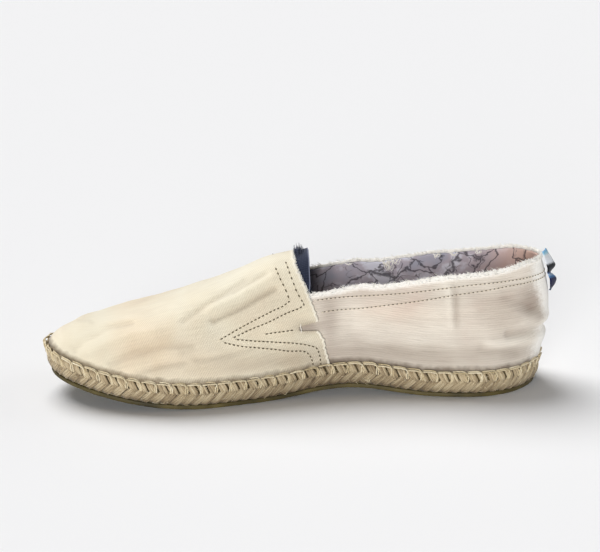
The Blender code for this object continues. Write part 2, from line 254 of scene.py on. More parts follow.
FOLDS = (
    Fold(-1.40, 2.0, places((139, 55.6), (144, 53.2), (150, 50.2), (158, 46.6), (169, 42.7))),
    Fold(1.00, 2.6, places((139, 60.0), (148, 56.0), (158, 51.3), (170, 46.5))),
    Fold(-0.80, 1.9, places((153, 58.0), (163, 52.6), (173, 47.9), (184, 42.0))),
    Fold(-0.60, 1.7, places((143, 61.0), (150, 57.6), (158, 53.5))),
    Fold(-0.60, 1.8, places((150, 30.0), (163, 27.5), (178, 26.5))),
    Fold(1.00, 3.0, places((245, 31.0), (238, 34.8), (230, 37.6), (222, 39.3))),
    Fold(-1.00, 2.2, places((238, 27.5), (230, 33.1), (220, 37.4), (210, 39.5))),
    Fold(0.90, 2.6, places((230, 26.5), (221, 32.0), (209, 36.3), (198, 38.0))),
    Fold(-0.70, 2.0, places((220, 24.3), (208, 29.5), (193, 32.3), (180, 32.6))),
    Fold(0.60, 2.4, places((212, 22.5), (201, 26.5), (188, 29.5))),
    Fold(-0.55, 1.6, places((206, 21.0), (196, 24.4), (184, 25.6))),
    Fold(0.90, 3.0, places((-3.0, 34.5), (5, 36.5), (12, 39.0))),
    Fold(-1.90, 2.0, places((-3.0, 30.0), (5, 30.6), (13, 31.8), (22, 32.6))),
    Fold(0.90, 3.2, places((-3.0, 25.6), (8, 26.6), (20, 27.6), (32, 28.6))),
    Fold(-0.80, 2.4, places((18, 22.5), (26, 24.0), (36, 26.5))),
    Fold(-0.60, 3.0, places((24, 52.0), (17, 47.5), (10, 42.5))),
    Fold(-0.80, 1.4, places((49.6, 58.0), (49.1, 50.8), (48.6, 43.0), (48.3, 39.0))),
    Fold(0.55, 1.6, places((52.4, 57.0), (52.0, 50.8), (51.5, 42.0), (51.2, 38.0))),
    Fold(-0.35, 2.4, places((36, 44.0), (52, 41.0), (70, 40.5), (88, 41.5))),
    Fold(0.35, 3.0, places((30, 30.0), (48, 28.5), (66, 30.0), (84, 31.5))),
    Fold(-0.35, 2.2, places((60, 25.0), (78, 24.0), (96, 26.0))),
    Fold(-0.40, 2.6, places((104, 50.0), (100, 42.0), (101, 33.0))),
    Fold(-0.90, 3.6, places((140, 58.0), (152, 52.0), (166, 45.0)), FoldKind.FAR),
    Fold(0.60, 4.0, places((236, 33.0), (226, 37.0), (214, 39.0)), FoldKind.FAR),
    Fold(-0.60, 3.6, places((226, 28.0), (214, 33.5), (198, 36.0)), FoldKind.FAR),
    Fold(0.90, 3.0, places((-3.0, 34.5), (4, 35.5), (9, 37.0)), FoldKind.FAR),
    Fold(-1.80, 2.2, places((-3.0, 30.0), (5, 30.0), (15, 29.0)), FoldKind.FAR),
    Fold(0.90, 3.2, places((-3.0, 25.6), (6, 25.6), (14, 24.5)), FoldKind.FAR),
    Fold(-0.50, 3.0, places((58, 55.0), (56, 45.0), (53, 34.0)), FoldKind.FAR),
    Fold(0.40, 3.4, places((76, 52.0), (82, 42.0), (84, 32.0)), FoldKind.FAR),
    Fold(-0.45, 1.2, places((-6, 66.0), (-6, 52.0), (-8, 40.0), (-6, 16.0)), FoldKind.BOTH),
)


@dataclass(frozen=True)
class ToneSpot:
    """A soft patch where the canvas is darker, paler or warmer than the cloth round it.

    Its shade above zero is painted shade and below zero painted highlight, its pale is
    painted highlight, and its warm warms the cloth's colour. Its place and how far it
    reaches along and up are in millimetres of the side view.
    """

    along: float
    height: float
    wide: float
    tall: float
    shade: float = 0.0
    warm: float = 0.0
    pale: float = 0.0


# Patches of painted shade and painted highlight, some with warmer colour
TONE_SPOTS = (
    ToneSpot(1, 62, 8, 12, pale=1.1),
    ToneSpot(-3, 46, 6, 13, pale=1.0),
    ToneSpot(-1, 22, 10, 9, pale=1.0),
    ToneSpot(14, 28.5, 14, 2.0, -0.22),
    ToneSpot(122, 37.5, 7, 3.2, 0.65),
    ToneSpot(10, 50, 6, 7, 0.38, -0.20),
    ToneSpot(7, 42, 6, 6, 0.46, -0.20),
    ToneSpot(3, 37, 4, 3, 0.42),
    ToneSpot(228, 34, 16, 7, -0.20, -0.30),
    ToneSpot(231, 26, 9, 4, -0.25, -0.40),
    ToneSpot(210, 36, 24, 9, 0.02, 0.30),
    ToneSpot(190, 27, 34, 10, 0.15, 0.26),
    ToneSpot(156, 21, 34, 5, 0.22, 0.10),
    ToneSpot(127, 24, 15, 8, 0.22, 0.00),
    ToneSpot(137, 42, 16, 9, 0.02, 0.00),
    ToneSpot(154, 49, 15, 7, 0.10, 0.00),
    ToneSpot(111, 42, 5, 14, 0.42, 0.00),
    ToneSpot(78, 45, 24, 8, -0.05, 0.20),
    ToneSpot(74, 22, 56, 9, 0.62, 0.00),
    ToneSpot(48.5, 49, 2.2, 10, 0.30, 0.00),
    ToneSpot(26, 45, 18, 12, 0.36, 0.10),
    ToneSpot(16, 22, 12, 6, 0.26, -0.20),
    ToneSpot(78, 52, 46, 5, 0.24, 0.00),
)


@dataclass(frozen=True)
class StitchRow:
    """A row of machine stitches on the canvas.

    The offset is how far the cloth that it lies on stands out from the quarter's face.
    """

    name: str
    line: tuple[SidePlace, ...]
    offset: float
    boldness: float = 1.0


STITCH_ROWS = (
    StitchRow("v_outer_upper", places((167.6, 34.0), (158.7, 38.0), (149.6, 41.9), (140.7, 45.5),
                                      (133.2, 48.6), (131.6, 49.8), (132.2, 51.8), (133.6, 55.2),
                                      (135.9, 59.4), (137.1, 61.8), (138.4, 64.4)), VAMP_WALL),
    StitchRow("v_inner_upper", places((161.2, 34.5), (151.2, 38.1), (141.5, 41.1), (131.3, 44.9),
                                      (126.0, 46.6), (124.5, 47.6), (125.4, 49.6), (127.7, 53.4),
                                      (129.3, 57.4), (131.1, 61.8), (132.6, 65.6)), VAMP_WALL),
    StitchRow("v_inner_lower", places((159.8, 34.2), (151.2, 32.9), (139.5, 31.2), (131.0, 30.0),
                                      (122.5, 28.1), (118.4, 26.4), (116.9, 22.7),
                                      (116.3, 18.0)), VAMP_WALL),
    StitchRow("v_outer_lower", places((166.0, 33.4), (157.3, 31.0), (146.5, 29.0), (134.2, 26.5),
                                      (122.6, 23.8), (121.4, 22.0), (120.1, 17.5)), VAMP_WALL),
    StitchRow("slit_dart", places((145.5, 35.3), (137.8, 35.8), (129.8, 36.2)), VAMP_WALL),
    StitchRow("collar_upper", places((119.1, 49.8), (106.5, 51.0), (95.4, 51.6), (76.5, 53.0),
                                     (61.3, 55.0), (49.5, 56.8), (37.2, 58.2), (24.9, 58.8),
                                     (12.0, 59.0), (2.0, 59.0), (-3.0, 59.0)), 0.0, 0.72),
    StitchRow("collar_lower", places((116.0, 44.0), (95.8, 45.6), (78.1, 47.9), (64.0, 50.2),
                                     (49.7, 53.0), (36.8, 54.8), (22.5, 56.4), (10.0, 56.6),
                                     (1.0, 56.6), (-3.0, 56.6)), 0.0, 0.72),
)


def smooth_through(knots: Sequence[float], values: Sequence[float], where: Numbers) -> np.ndarray:
    """Reads a smooth curve through values at knots.

    Args:
        knots: Rising places of the values.
        values: The values there.
        where: Places to read, one or an array.

    Returns:
        The curve's values at those places.
    """
    knots = np.asarray(knots, float)
    values = np.asarray(values, float)
    slopes = np.gradient(values, knots)
    where = np.clip(where, knots[0], knots[-1])
    index = np.clip(np.searchsorted(knots, where) - 1, 0, len(knots) - 2)
    width = knots[index + 1] - knots[index]
    part = (where - knots[index]) / width
    start = (1 + 2 * part) * (1 - part) ** 2 * values[index]
    end = part ** 2 * (3 - 2 * part) * values[index + 1]
    leaving = part * (1 - part) ** 2 * width * slopes[index]
    arriving = part ** 2 * (part - 1) * width * slopes[index + 1]
    return start + end + leaving + arriving


def ramp(value: Numbers, start: Numbers, end: Numbers) -> np.ndarray:
    """Share of the way from start to end, held at 0 before and at 1 after."""
    return np.clip((value - start) / (end - start), 0.0, 1.0)


def eased(value: Numbers, start: Numbers, end: Numbers) -> np.ndarray:
    """Share of the way from start to end that leaves and arrives softly."""
    part = ramp(value, start, end)
    return part * part * (3.0 - 2.0 * part)


def place_x(along: Numbers) -> Numbers:
    """X of a place along the sole, given as a share of its length from the heel."""
    return (0.5 - along) * SOLE_LENGTH


def share_along(x: Numbers) -> Numbers:
    """Share of the sole's length from the heel to x."""
    return 0.5 - x / SOLE_LENGTH


def ground(x: Numbers) -> np.ndarray:
    """Reads the sole's underside.

    Args:
        x: Places along the shoe.

    Returns:
        The heights, as an array.
    """
    along = share_along(np.asarray(x, float))
    arch = 0.5 + 0.5 * np.cos(math.pi * np.minimum(1.0, abs(along - ARCH_PLACE) / ARCH_SPAN))
    toe = ramp(along, TOE_SPRING_START, 1.0) ** TOE_SPRING_CURVE
    heel = ramp(along, HEEL_SPRING_START, 0.0) ** HEEL_SPRING_CURVE
    return ARCH_RISE * arch + TOE_SPRING * toe + HEEL_SPRING * heel


def upper_margin(along: Numbers) -> np.ndarray:
    """How far the canvas's foot lies inside the sole's edge.

    Args:
        along: Shares of the sole's length from the heel.

    Returns:
        The distances.
    """
    toe = ramp(along, TOE_MARGIN_START, 1.0) * (TOE_MARGIN - SIDE_MARGIN)
    heel = ramp(along, HEEL_MARGIN_START, 0.0) * (SIDE_MARGIN - HEEL_MARGIN)
    return SIDE_MARGIN + toe - heel


def insole_margin(along: Numbers) -> np.ndarray:
    """How far the insole's edge lies inside the sole's edge, apart from its gap at the toe."""
    return upper_margin(along) + UPPER_WALL + INSOLE_INSET


def unit(vectors: np.ndarray) -> np.ndarray:
    """The same directions with a length of 1."""
    return vectors / np.maximum(np.linalg.norm(vectors, axis=-1, keepdims=True), 1e-12)


class Edge(NamedTuple):
    """Dense edge of one side of the sole from the heel's tip to the toe's."""

    x: np.ndarray
    y: np.ndarray
    out_x: np.ndarray
    out_y: np.ndarray
    length: float


class ShoeForm:
    """The form that the canvas is drawn over, and the sole's edge that it starts from."""

    FINE = 0.0012
    TABLE_SHARES = 300
    TABLE_TURNS = 140
    # Share of the edge at each end over which the two sides' folds merge, and over which
    # the cloth stops facing sideways
    MERGE_SHARE = 0.05
    MIDDLE_SHARE = 0.01
    # Cross products below this share of their factors are too weak to show a direction,
    # and the one that stands in for them at the ridge's end
    WEAK_CROSS = 0.02
    END_DIRECTION = (-0.25, 0.0, 1.0)
    # A line inside the shoe that every part of the form faces away from
    INNER_ENDS = (-0.085, 0.095)
    INNER_HEIGHT = 0.020
    # How a place is searched for on the form
    SEARCH_STEPS = 6
    LONGEST_STEP = 0.02

    def __init__(self) -> None:
        """Works out the sole's edges and the tables that places are looked up in."""
        self.shares = np.linspace(0.0, 1.0, SHARE_STEPS + 1)
        self.edges = self._edges()
        middle = 0.5 * (self._foot(Side.MEDIAL, 0.0)[0] + self._foot(Side.LATERAL, 0.0)[0])
        along = share_along(middle)
        drawn = (1.0 - RIDGE_EASE) * along + RIDGE_EASE * along ** 2 * (3.0 - 2.0 * along)
        span = 1.0 - (HEEL_REACH + TOE_REACH) / SOLE_LENGTH
        self.ridge_places = HEEL_REACH / SOLE_LENGTH + drawn * span
        self.grid = np.meshgrid(np.linspace(0, 1, self.TABLE_SHARES),
                                np.linspace(0, 1, self.TABLE_TURNS), indexing="ij")
        self.tables = {side: self.wall(side, *self.grid) for side in Side}
        self.paths = {side: self._path_table(side) for side in Side}
        self.folds = {side: self._fold_lines(side) for side in Side}

    def _edges(self) -> dict[Side, Edge]:
        """Draws the sole's edge through its outline rows.

        Returns:
            An edge for each side.
        """
        medial = [(place_x(row.along), -row.size * row.medial) for row in OUTLINE]
        lateral = [(place_x(row.along), row.size * row.lateral) for row in OUTLINE]
        heel_tip = [(place_x(0.0), 0.0)]
        toe_tip = [(place_x(1.0), BALL_WIDTH * TOE_TIP_SHIFT)]
        points = np.array(heel_tip + medial + toe_tip + lateral[::-1])
        wrapped = np.concatenate([points[-WRAP:], points, points[:WRAP + 1]])
        spans = np.linalg.norm(np.diff(wrapped, axis=0), axis=1) ** 0.5
        knots = np.concatenate([[0.0], np.cumsum(spans)])
        start, toe = knots[WRAP], knots[WRAP + len(medial) + 1]
        ends = {Side.MEDIAL: start, Side.LATERAL: knots[WRAP + len(points)]}
        edges = {}
        for side in Side:
            where = np.linspace(ends[side], toe, EDGE_STEPS)
            x = smooth_through(knots, wrapped[:, 0], where)
            y = smooth_through(knots, wrapped[:, 1], where)
            run = np.concatenate([[0.0], np.cumsum(np.hypot(np.diff(x), np.diff(y)))])
            wanted = self.shares * run[-1]
            step = run[-1] * DIRECTION_SHARE
            ahead_x, behind_x = np.interp(wanted + step, run, x), np.interp(wanted - step, run, x)
            ahead_y, behind_y = np.interp(wanted + step, run, y), np.interp(wanted - step, run, y)
            out = unit(np.stack([side.value * (ahead_y - behind_y),
                                 -side.value * (ahead_x - behind_x)], axis=1))
            out[0], out[-1] = (1.0, 0.0), (-1.0, 0.0)
            edges[side] = Edge(np.interp(wanted, run, x), np.interp(wanted, run, y),
                               out[:, 0], out[:, 1], float(run[-1]))
        return edges

    def _foot(self, side: Side, offset: float) -> tuple[np.ndarray, np.ndarray]:
        """Reads the canvas's foot line.

        Args:
            side: Side of the shoe.
            offset: How far it is moved out.

        Returns:
            X and Y of its points.
        """
        edge = self.edges[side]
        margin = upper_margin(share_along(edge.x)) - offset
        return edge.x - edge.out_x * margin, edge.y - edge.out_y * margin

    def _path_table(self, side: Side) -> np.ndarray:
        """Measures the wall from its foot up to each turn.

        Args:
            side: Side of the shoe.

        Returns:
            The lengths, with a row for each share.
        """
        steps = np.linalg.norm(np.diff(self.tables[side], axis=1), axis=2)
        start = np.zeros((steps.shape[0], 1))
        return np.concatenate([start, np.cumsum(steps, axis=1)], axis=1)

    def _fold_lines(self, side: Side) -> list[tuple[Fold, np.ndarray]]:
        """Finds the folds of a side.

        Args:
            side: Side of the shoe.

        Returns:
            Each fold with its line on the cloth laid flat, in millimetres.
        """
        other = FoldKind.FAR if side is Side.MEDIAL else FoldKind.NEAR
        lines = []
        for fold in FOLDS:
            if fold.kind is not other:
                found = self.locate(side, fold.line)
                points = self.wall(side, found[:, 0], found[:, 1])
                up = self.path(side, found[:, 0], found[:, 1])
                lines.append((fold, np.stack([points[:, 0], up], axis=1) / MM))
        return lines

    def path(self, side: Side, share: Numbers, turn: Numbers) -> np.ndarray:
        """Measures the wall from the sole up.

        Args:
            side: Side of the shoe.
            share: Share of the sole's edge from the heel.
            turn: 0 at the sole and 1 on the ridge.

        Returns:
            The lengths.
        """
        share, turn = np.broadcast_arrays(np.asarray(share, float), np.asarray(turn, float))
        row = np.clip(share, 0, 1) * (self.TABLE_SHARES - 1)
        column = np.clip(turn, 0, 1) * (self.TABLE_TURNS - 1)
        low_row = np.minimum(row.astype(int), self.TABLE_SHARES - 2)
        low_column = np.minimum(column.astype(int), self.TABLE_TURNS - 2)
        down, right = row - low_row, column - low_column
        table = self.paths[side]
        near = table[low_row, low_column] * (1 - right) + table[low_row, low_column + 1] * right
        far = (table[low_row + 1, low_column] * (1 - right)
               + table[low_row + 1, low_column + 1] * right)
        return near * (1 - down) + far * down

    def wall(self, side: Side, share: Numbers, turn: Numbers, offset: float = 0.0
             ) -> np.ndarray:
        """Points of the form without its folds.

        Args:
            side: Side of the shoe.
            share: Share of the sole's edge from the heel, of any array shape.
            turn: 0 at the sole and 1 on the ridge, of the same shape.
            offset: How far the wanted face lies outside the quarter's face.

        Returns:
            Points with a last axis of three, in the sole's own plan.
        """
        foot_x, foot_y = self._foot(side, offset)
        x = np.interp(share, self.shares, foot_x)
        y = np.interp(share, self.shares, foot_y)
        facing = np.interp(share, self.shares, self.edges[side].out_x)
        place = np.interp(share, self.shares, self.ridge_places)
        along = [row.along for row in RIDGE]
        top_x = place_x(place)
        top_y = smooth_through(along, [BALL_WIDTH * row.shift for row in RIDGE], place)
        fullness = smooth_through(along, [row.fullness for row in RIDGE], place)
        quarter_turn = 0.5 * math.pi * np.asarray(turn, float)
        inward = 1.0 - np.maximum(np.cos(quarter_turn), 0.0) ** (2.0 / fullness)
        rise = np.maximum(np.sin(quarter_turn), 0.0) ** (2.0 / fullness)
        plan_x = x + (top_x - x) * inward
        high = smooth_through(along, [row.size * row.height for row in RIDGE], share_along(plan_x))
        swell = np.sin(math.pi * np.minimum(1.0, rise / BULGE_SHARE))
        bulge = HEEL_BULGE * swell * np.maximum(0.0, facing) ** 2 * facing
        low = ground(x) + UPPER_BOTTOM
        return np.stack([plan_x + bulge, y + (top_y - y) * inward,
                         low + (high + offset - low) * rise], axis=-1)

    @staticmethod
    def _shared(share: Numbers) -> np.ndarray:
        """How far the other side counts near the toe's and the heel's middle lines."""
        reach = ShoeForm.MERGE_SHARE
        return 0.5 * (eased(share, reach, 0.0) + eased(share, 1.0 - reach, 1.0))

    def outward(self, side: Side, share: Numbers, turn: Numbers) -> np.ndarray:
        """Finds which way the form faces.

        Args:
            side: Side of the shoe.
            share: Share of the sole's edge from the heel.
            turn: 0 at the sole and 1 on the ridge.

        Returns:
            Directions of length 1. On the middle lines they don't lean sideways, and where
            the ridge ends they point up.
        """
        share, turn = np.asarray(share, float), np.asarray(turn, float)
        fine = self.FINE
        ahead = self.wall(side, np.minimum(share + fine, 1.0), turn)
        behind = self.wall(side, np.maximum(share - fine, 0.0), turn)
        above = self.wall(side, share, np.minimum(turn + fine, 1.0))
        below = self.wall(side, share, np.maximum(turn - fine, 0.0))
        round_it, up_it = ahead - behind, above - below
        out = np.cross(round_it, up_it)
        sizes = np.linalg.norm(round_it, axis=-1) * np.linalg.norm(up_it, axis=-1)
        weak = np.linalg.norm(out, axis=-1) < self.WEAK_CROSS * sizes
        out = unit(out)
        reach = self.MIDDLE_SHARE
        out[..., 1] *= 1.0 - eased(share, reach, 0.0) - eased(share, 1.0 - reach, 1.0)
        out = unit(np.where(weak[..., None], np.array(self.END_DIRECTION), out))
        points = self.wall(side, share, turn)
        inside = np.stack([np.clip(points[..., 0], *self.INNER_ENDS), 0.0 * points[..., 1],
                           0.0 * points[..., 2] + self.INNER_HEIGHT], axis=-1)
        sign = np.sign((out * (points - inside)).sum(axis=-1, keepdims=True))
        return out * np.where(sign == 0.0, 1.0, sign)

    def relief(self, side: Side, share: Numbers, turn: Numbers) -> np.ndarray:
        """Reads how far the folds raise the canvas.

        Args:
            side: Side of the shoe.
            share: Share of the sole's edge from the heel.
            turn: 0 at the sole and 1 on the ridge.

        Returns:
            The heights in metres, the same from both sides on the middle lines.
        """
        part = self._shared(share)
        own = self._own_relief(side, share, turn)
        return own + (self._own_relief(side.other, share, turn) - own) * part

    def _own_relief(self, side: Side, share: Numbers, turn: Numbers) -> np.ndarray:
        """Reads how far one side's own folds raise the canvas.

        Args:
            side: Side of the shoe.
            share: Share of the sole's edge from the heel.
            turn: 0 at the sole and 1 on the ridge.

        Returns:
            The heights in metres.
        """
        points = self.wall(side, share, turn)
        flat = np.stack([points[..., 0], self.path(side, share, turn)], axis=-1) / MM
        # Slow swells of washed cloth, 55 by 42 mm long and a fifth of a millimetre high
        total = 0.22 * np.sin(0.115 * flat[..., 0] + 0.9) * np.sin(0.150 * flat[..., 1] + 0.4)
        total += 0.10 * np.sin(0.31 * flat[..., 0] + 0.21 * flat[..., 1])
        total *= ramp(turn, 0.0, 0.12)
        for fold, line in self.folds[side]:
            distance = np.full(flat.shape[:-1], np.inf)
            for first, last in zip(line, line[1:]):
                span = last - first
                part = np.clip(((flat - first) @ span) / (span @ span), 0.0, 1.0)
                gap = np.linalg.norm(flat - first - part[..., None] * span, axis=-1)
                distance = np.minimum(distance, gap)
            total = total + fold.depth * np.exp(-(distance / fold.width) ** 2)
        return total * (1.0 - eased(turn, 0.80, 1.0)) * MM

    @staticmethod
    def tones(points: np.ndarray, relief: np.ndarray) -> dict[str, np.ndarray]:
        """Reads how dark, warm and pale the canvas is.

        Args:
            points: Points of the form.
            relief: How far the folds raise them.

        Returns:
            The values by name: painted shade, warmth and painted highlight.
        """
        along = share_along(points[..., 0]) * SOLE_LENGTH / MM
        height = points[..., 2] / MM
        # Painted shade in the folds' troughs and painted highlight on their ridges
        shade = np.clip(-0.20 * relief / MM, -0.25, 0.30)
        warm = 0.0 * shade
        pale = 0.0 * shade
        for spot in TONE_SPOTS:
            weight = np.exp(-((along - spot.along) / spot.wide) ** 2
                            - ((height - spot.height) / spot.tall) ** 2)
            shade = shade + spot.shade * weight
            warm = warm + spot.warm * weight
            pale = pale + spot.pale * weight
        return {"shade": shade, "warm": warm, "pale": pale}

    def skin(self, side: Side, share: Numbers, turn: Numbers, offset: float = 0.0
             ) -> np.ndarray:
        """Reads the folded canvas.

        Args:
            side: Side of the shoe.
            share: Share of the sole's edge from the heel.
            turn: 0 at the sole and 1 on the ridge.
            offset: How far they lie outside the quarter's face.

        Returns:
            The points.
        """
        share, turn = np.asarray(share, float), np.asarray(turn, float)
        points = self.wall(side, share, turn, offset)
        raised = self.relief(side, share, turn)
        return points + self.outward(side, share, turn) * raised[..., None]

    def locate(self, side: Side, line: Sequence[SidePlace]) -> np.ndarray:
        """Share and turn of places of the side view.

        Args:
            side: Side of the shoe.
            line: Places in millimetres.

        Returns:
            An array with a row of share and turn for each place.
        """
        table = self.tables[side]
        found = []
        for place in line:
            goal = np.array([place_x(place.along * MM / SOLE_LENGTH), place.height * MM])
            gap = np.hypot(table[..., 0] - goal[0], table[..., 2] - goal[1])
            row, column = np.unravel_index(np.argmin(gap), gap.shape)
            where = np.array([self.grid[0][row, column], self.grid[1][row, column]])
            for _ in range(self.SEARCH_STEPS):
                here = self.wall(side, where[0], where[1])[[0, 2]]
                by_share = self.wall(side, where[0] + self.FINE, where[1])[[0, 2]] - here
                by_turn = self.wall(side, where[0], where[1] + self.FINE)[[0, 2]] - here
                slope = np.stack([by_share, by_turn], axis=1) / self.FINE
                step = np.linalg.lstsq(slope, goal - here, rcond=None)[0]
                step = np.clip(step, -self.LONGEST_STEP, self.LONGEST_STEP)
                where = np.clip(where + step, 0.0, 1.0 - self.FINE)
            found.append(where)
        return np.array(found)

    def sole_loop(self) -> "SoleLoop":
        """Joins both edges of the sole.

        Returns:
            The run from toe to heel on the medial side, and back on the lateral one.
        """
        medial, lateral = self.edges[Side.MEDIAL], self.edges[Side.LATERAL]
        columns = [np.concatenate([getattr(medial, name)[::-1], getattr(lateral, name)[1:]])
                   for name in ("x", "y", "out_x", "out_y")]
        return SoleLoop(*columns)


class SoleLoop:
    """The sole's edge as a closed run that the braid is laid along."""

    def __init__(self, x: np.ndarray, y: np.ndarray, out_x: np.ndarray, out_y: np.ndarray
                 ) -> None:
        """Keeps the edge's points and outward directions by their run."""
        self.columns = (x, y, out_x, out_y)
        self.run = np.concatenate([[0.0], np.cumsum(np.hypot(np.diff(x), np.diff(y)))])
        self.length = float(self.run[-1])

    def at(self, run: Numbers, height: Numbers, out: Numbers) -> np.ndarray:
        """Points beside the rope's face.

        Args:
            run: Run along the edge, in metres, taken round the loop.
            height: Height above the rope's underside, in metres.
            out: How far the point stands out from the rope's tapered face.

        Returns:
            Points with a last axis of three.
        """
        run = np.mod(run, self.length)
        x, y, out_x, out_y = (np.interp(run, self.run, column) for column in self.columns)
        length = np.hypot(out_x, out_y)
        share = np.clip(np.asarray(height) / JUTE_THICKNESS, 0.0, 1.0)
        reach = (out - JUTE_TAPER * (1.0 - share)) / length
        return np.stack([x + out_x * reach, y + out_y * reach,
                         ground(x) + JUTE_BOTTOM + height], axis=-1)

    def facing(self, run: Numbers) -> np.ndarray:
        """Finds which way the edge faces.

        Args:
            run: Runs along the edge.

        Returns:
            Directions of length 1.
        """
        run = np.mod(run, self.length)
        out_x, out_y = (np.interp(run, self.run, column) for column in self.columns[2:])
        return unit(np.stack([out_x, out_y, 0.0 * out_x], axis=-1))


def colour(code: str) -> tuple[float, float, float, float]:
    """Turns an sRGB hex code to linear.

    Args:
        code: Such as '#e8dcc3'.

    Returns:
        The linear colour, with an alpha of 1.
    """
    parts = [int(code[start:start + 2], 16) / 255.0 for start in (1, 3, 5)]
    linear = [part / 12.92 if part <= 0.04045 else ((part + 0.055) / 1.055) ** 2.4
              for part in parts]
    return (linear[0], linear[1], linear[2], 1.0)


def add_node(tree: bpy.types.NodeTree, kind: str, feeds: Optional[dict] = None,
             out: Union[int, str] = 0, stops: Sequence[tuple[float, str]] = (),
             **settings: str) -> bpy.types.NodeSocket:
    """Adds one node with its settings and its links.

    Args:
        tree: Node tree that it joins.
        kind: Type of the node without the leading 'ShaderNode'.
        feeds: Inputs by name or number, each a value or a socket to link from.
        out: The output to hand back, by name or number.
        stops: Places and sRGB hex codes, where the node is a colour ramp.
        **settings: Properties of the node.

    Returns:
        The output's socket.
    """
    made = tree.nodes.new("ShaderNode" + kind)
    for name, value in settings.items():
        setattr(made, name, value)
    for name, value in (feeds or {}).items():
        if isinstance(value, bpy.types.NodeSocket):
            tree.links.new(value, made.inputs[name])
        else:
            made.inputs[name].default_value = value
    if stops:
        elements = made.color_ramp.elements
        elements[0].position, elements[1].position = stops[0][0], stops[-1][0]
        for place, _ in stops[1:-1]:
            elements.new(place)
        for element, (_, code) in zip(elements, stops):
            element.color = colour(code)
    return made.outputs[out]


class Surface(NamedTuple):
    """What a finish hands to its shader: a colour, and a height with its depth in metres."""

    paint: bpy.types.NodeSocket
    height: Optional[bpy.types.NodeSocket] = None
    depth: float = 0.0


class Finish:
    """The look of one real material, as nodes in front of a Principled BSDF."""

    name: str
    roughness: float = 0.90
    specular: float = 0.25
    sheen: float = 0.0
    sheen_roughness: float = 0.5

    def surface(self, add: Callable) -> Surface:
        """Adds the nodes of the colour and the height.

        Args:
            add: add_node for the material's own tree.

        Returns:
            The surface.
        """
        raise NotImplementedError

    def make(self) -> bpy.types.Material:
        """Makes the material.

        Returns:
            The material, named for the real one.
        """
        made = bpy.data.materials.new(self.name)
        made.use_nodes = True
        tree = made.node_tree
        shader = tree.nodes["Principled BSDF"]
        for name, value in (("Roughness", self.roughness), ("Metallic", 0.0),
                            ("Specular IOR Level", self.specular), ("Sheen Weight", self.sheen),
                            ("Sheen Roughness", self.sheen_roughness)):
            shader.inputs[name].default_value = value
        face = self.surface(partial(add_node, tree))
        tree.links.new(face.paint, shader.inputs["Base Color"])
        if face.height is not None:
            bump = add_node(tree, "Bump", {"Height": face.height, "Distance": face.depth})
            tree.links.new(bump, shader.inputs["Normal"])
        return made


